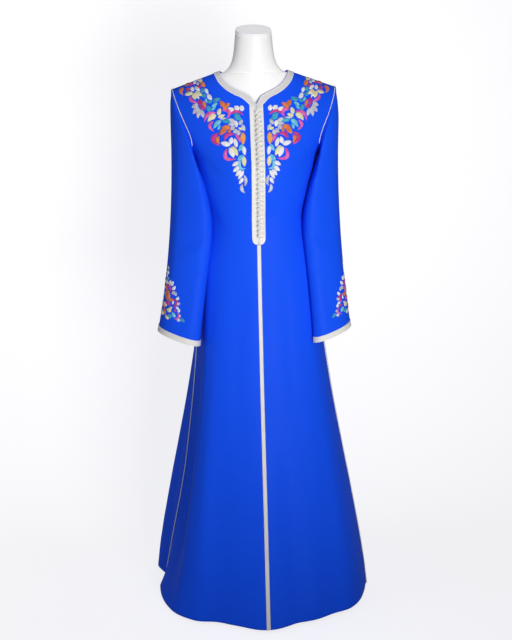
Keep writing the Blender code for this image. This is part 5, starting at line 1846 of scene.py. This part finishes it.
class KAFTAN_OT_embroidery(bpy.types.Operator):
    """Add the satin-stitched leaves and petals beside the placket and above the cuffs"""

    bl_idname = "kaftan.embroidery"
    bl_label = "Embroidery"

    def execute(self, context):
        for hand in (1, -1):
            name = hand_name(hand)
            add_stitches(
                "stitching_chest_" + name, CHEST, ["cloth_front_" + name], (-1,),
                no_shift if hand < 0 else right_chest_shift, hand < 0)
            shift = left_sleeve_shift if hand < 0 else no_shift
            add_stitches(
                "stitching_cuff_" + name, CUFF, ["cloth_sleeve_" + name], (-1, 1), shift, hand < 0)
        return {"FINISHED"}


def length_property(name, description, default):
    return FloatProperty(
        name=name, description=description, default=default, min=0.00005, soft_max=0.05, subtype="DISTANCE",
        unit="LENGTH", precision=5)


def colour_property(name, description, default):
    return FloatVectorProperty(
        name=name, description=description, default=default, size=3, min=0.0, max=1.0, subtype="COLOR")


class KaftanSizes(bpy.types.PropertyGroup):
    """Sizes that a maker may change"""

    cloth_thickness: length_property("Cloth thickness", "Thickness of the crepe with its lining", 0.0015)
    braid_thickness: length_property("Braid thickness", "Height of the woven braids over the cloth", 0.0012)
    side_cord_radius: length_property("Side cord radius", "Half the width of the side seams' cord", 0.0015)
    armhole_cord_radius: length_property("Armhole cord radius", "Half the armhole cord's width", 0.0012)
    cord_pitch: length_property("Cord pitch", "Length of one full twist of the side cords", 0.007)
    loop_radius: length_property("Loop radius", "Half the width of the cord of the button loops", 0.0009)
    button_radius: length_property("Button radius", "Half the width of a knotted button", 0.0043)
    stitch_height: FloatProperty(
        name="Stitch height", description="Height of the padded satin stitch, in millimetres",
        default=1.5, min=0.2)


class KaftanColours(bpy.types.PropertyGroup):
    """Colours that a maker may change"""

    cloth: colour_property("Cloth", "Royal blue of the crepe", (0.007, 0.085, 0.90))
    braid_ground: colour_property("Neck braid ground", "Grey middle of the neck braid", (0.70, 0.69, 0.70))
    braid_edge: colour_property("Braid edge", "Corded edges of the braids", (0.90, 0.90, 0.90))
    placket: colour_property("Placket braid", "Ivory ground of the placket and cuffs", (0.84, 0.83, 0.79))
    cord: colour_property("Cord", "Twisted cords and loops", (0.88, 0.88, 0.88))
    button: colour_property("Buttons", "Thread of the knotted buttons", (0.86, 0.84, 0.80))
    form: colour_property("Form", "Lacquer of the dress form", (0.93, 0.93, 0.93))
    cap: colour_property("Neck cap", "Lacquer of the neck cap", (0.92, 0.91, 0.94))


STEPS = ("stage", "dress_form", "body", "sleeves", "braids", "cords", "buttons", "embroidery")


class KAFTAN_PT_panel(bpy.types.Panel):
    """Lists the sizes, the colours and each step of the kaftan"""

    bl_label = "Kaftan"
    bl_space_type = "VIEW_3D"
    bl_region_type = "UI"
    bl_category = "Kaftan"

    def draw(self, context):
        layout = self.layout
        for group in (context.scene.kaftan_sizes, context.scene.kaftan_colours):
            box = layout.box()
            for name in group.__annotations__:
                box.prop(group, name)
        for step in STEPS:
            layout.operator("kaftan." + step)


CLASSES = (
    KaftanSizes, KaftanColours, KAFTAN_OT_stage, KAFTAN_OT_dress_form, KAFTAN_OT_body, KAFTAN_OT_sleeves,
    KAFTAN_OT_braids, KAFTAN_OT_cords, KAFTAN_OT_buttons, KAFTAN_OT_embroidery, KAFTAN_PT_panel,
)


def register():
    for made in CLASSES:
        bpy.utils.register_class(made)
    bpy.types.Scene.kaftan_sizes = PointerProperty(type=KaftanSizes)
    bpy.types.Scene.kaftan_colours = PointerProperty(type=KaftanColours)


def unregister():
    del bpy.types.Scene.kaftan_colours
    del bpy.types.Scene.kaftan_sizes
    for made in reversed(CLASSES):
        bpy.utils.unregister_class(made)


def write_sizes():
    def plain(box):
        return [[float(v) for v in corner] for corner in box]

    bpy.context.view_layer.update()


def main():
    register()
    for step in STEPS:
        getattr(bpy.ops.kaftan, step)()
    write_sizes()


if __name__ == "__main__":
    main()
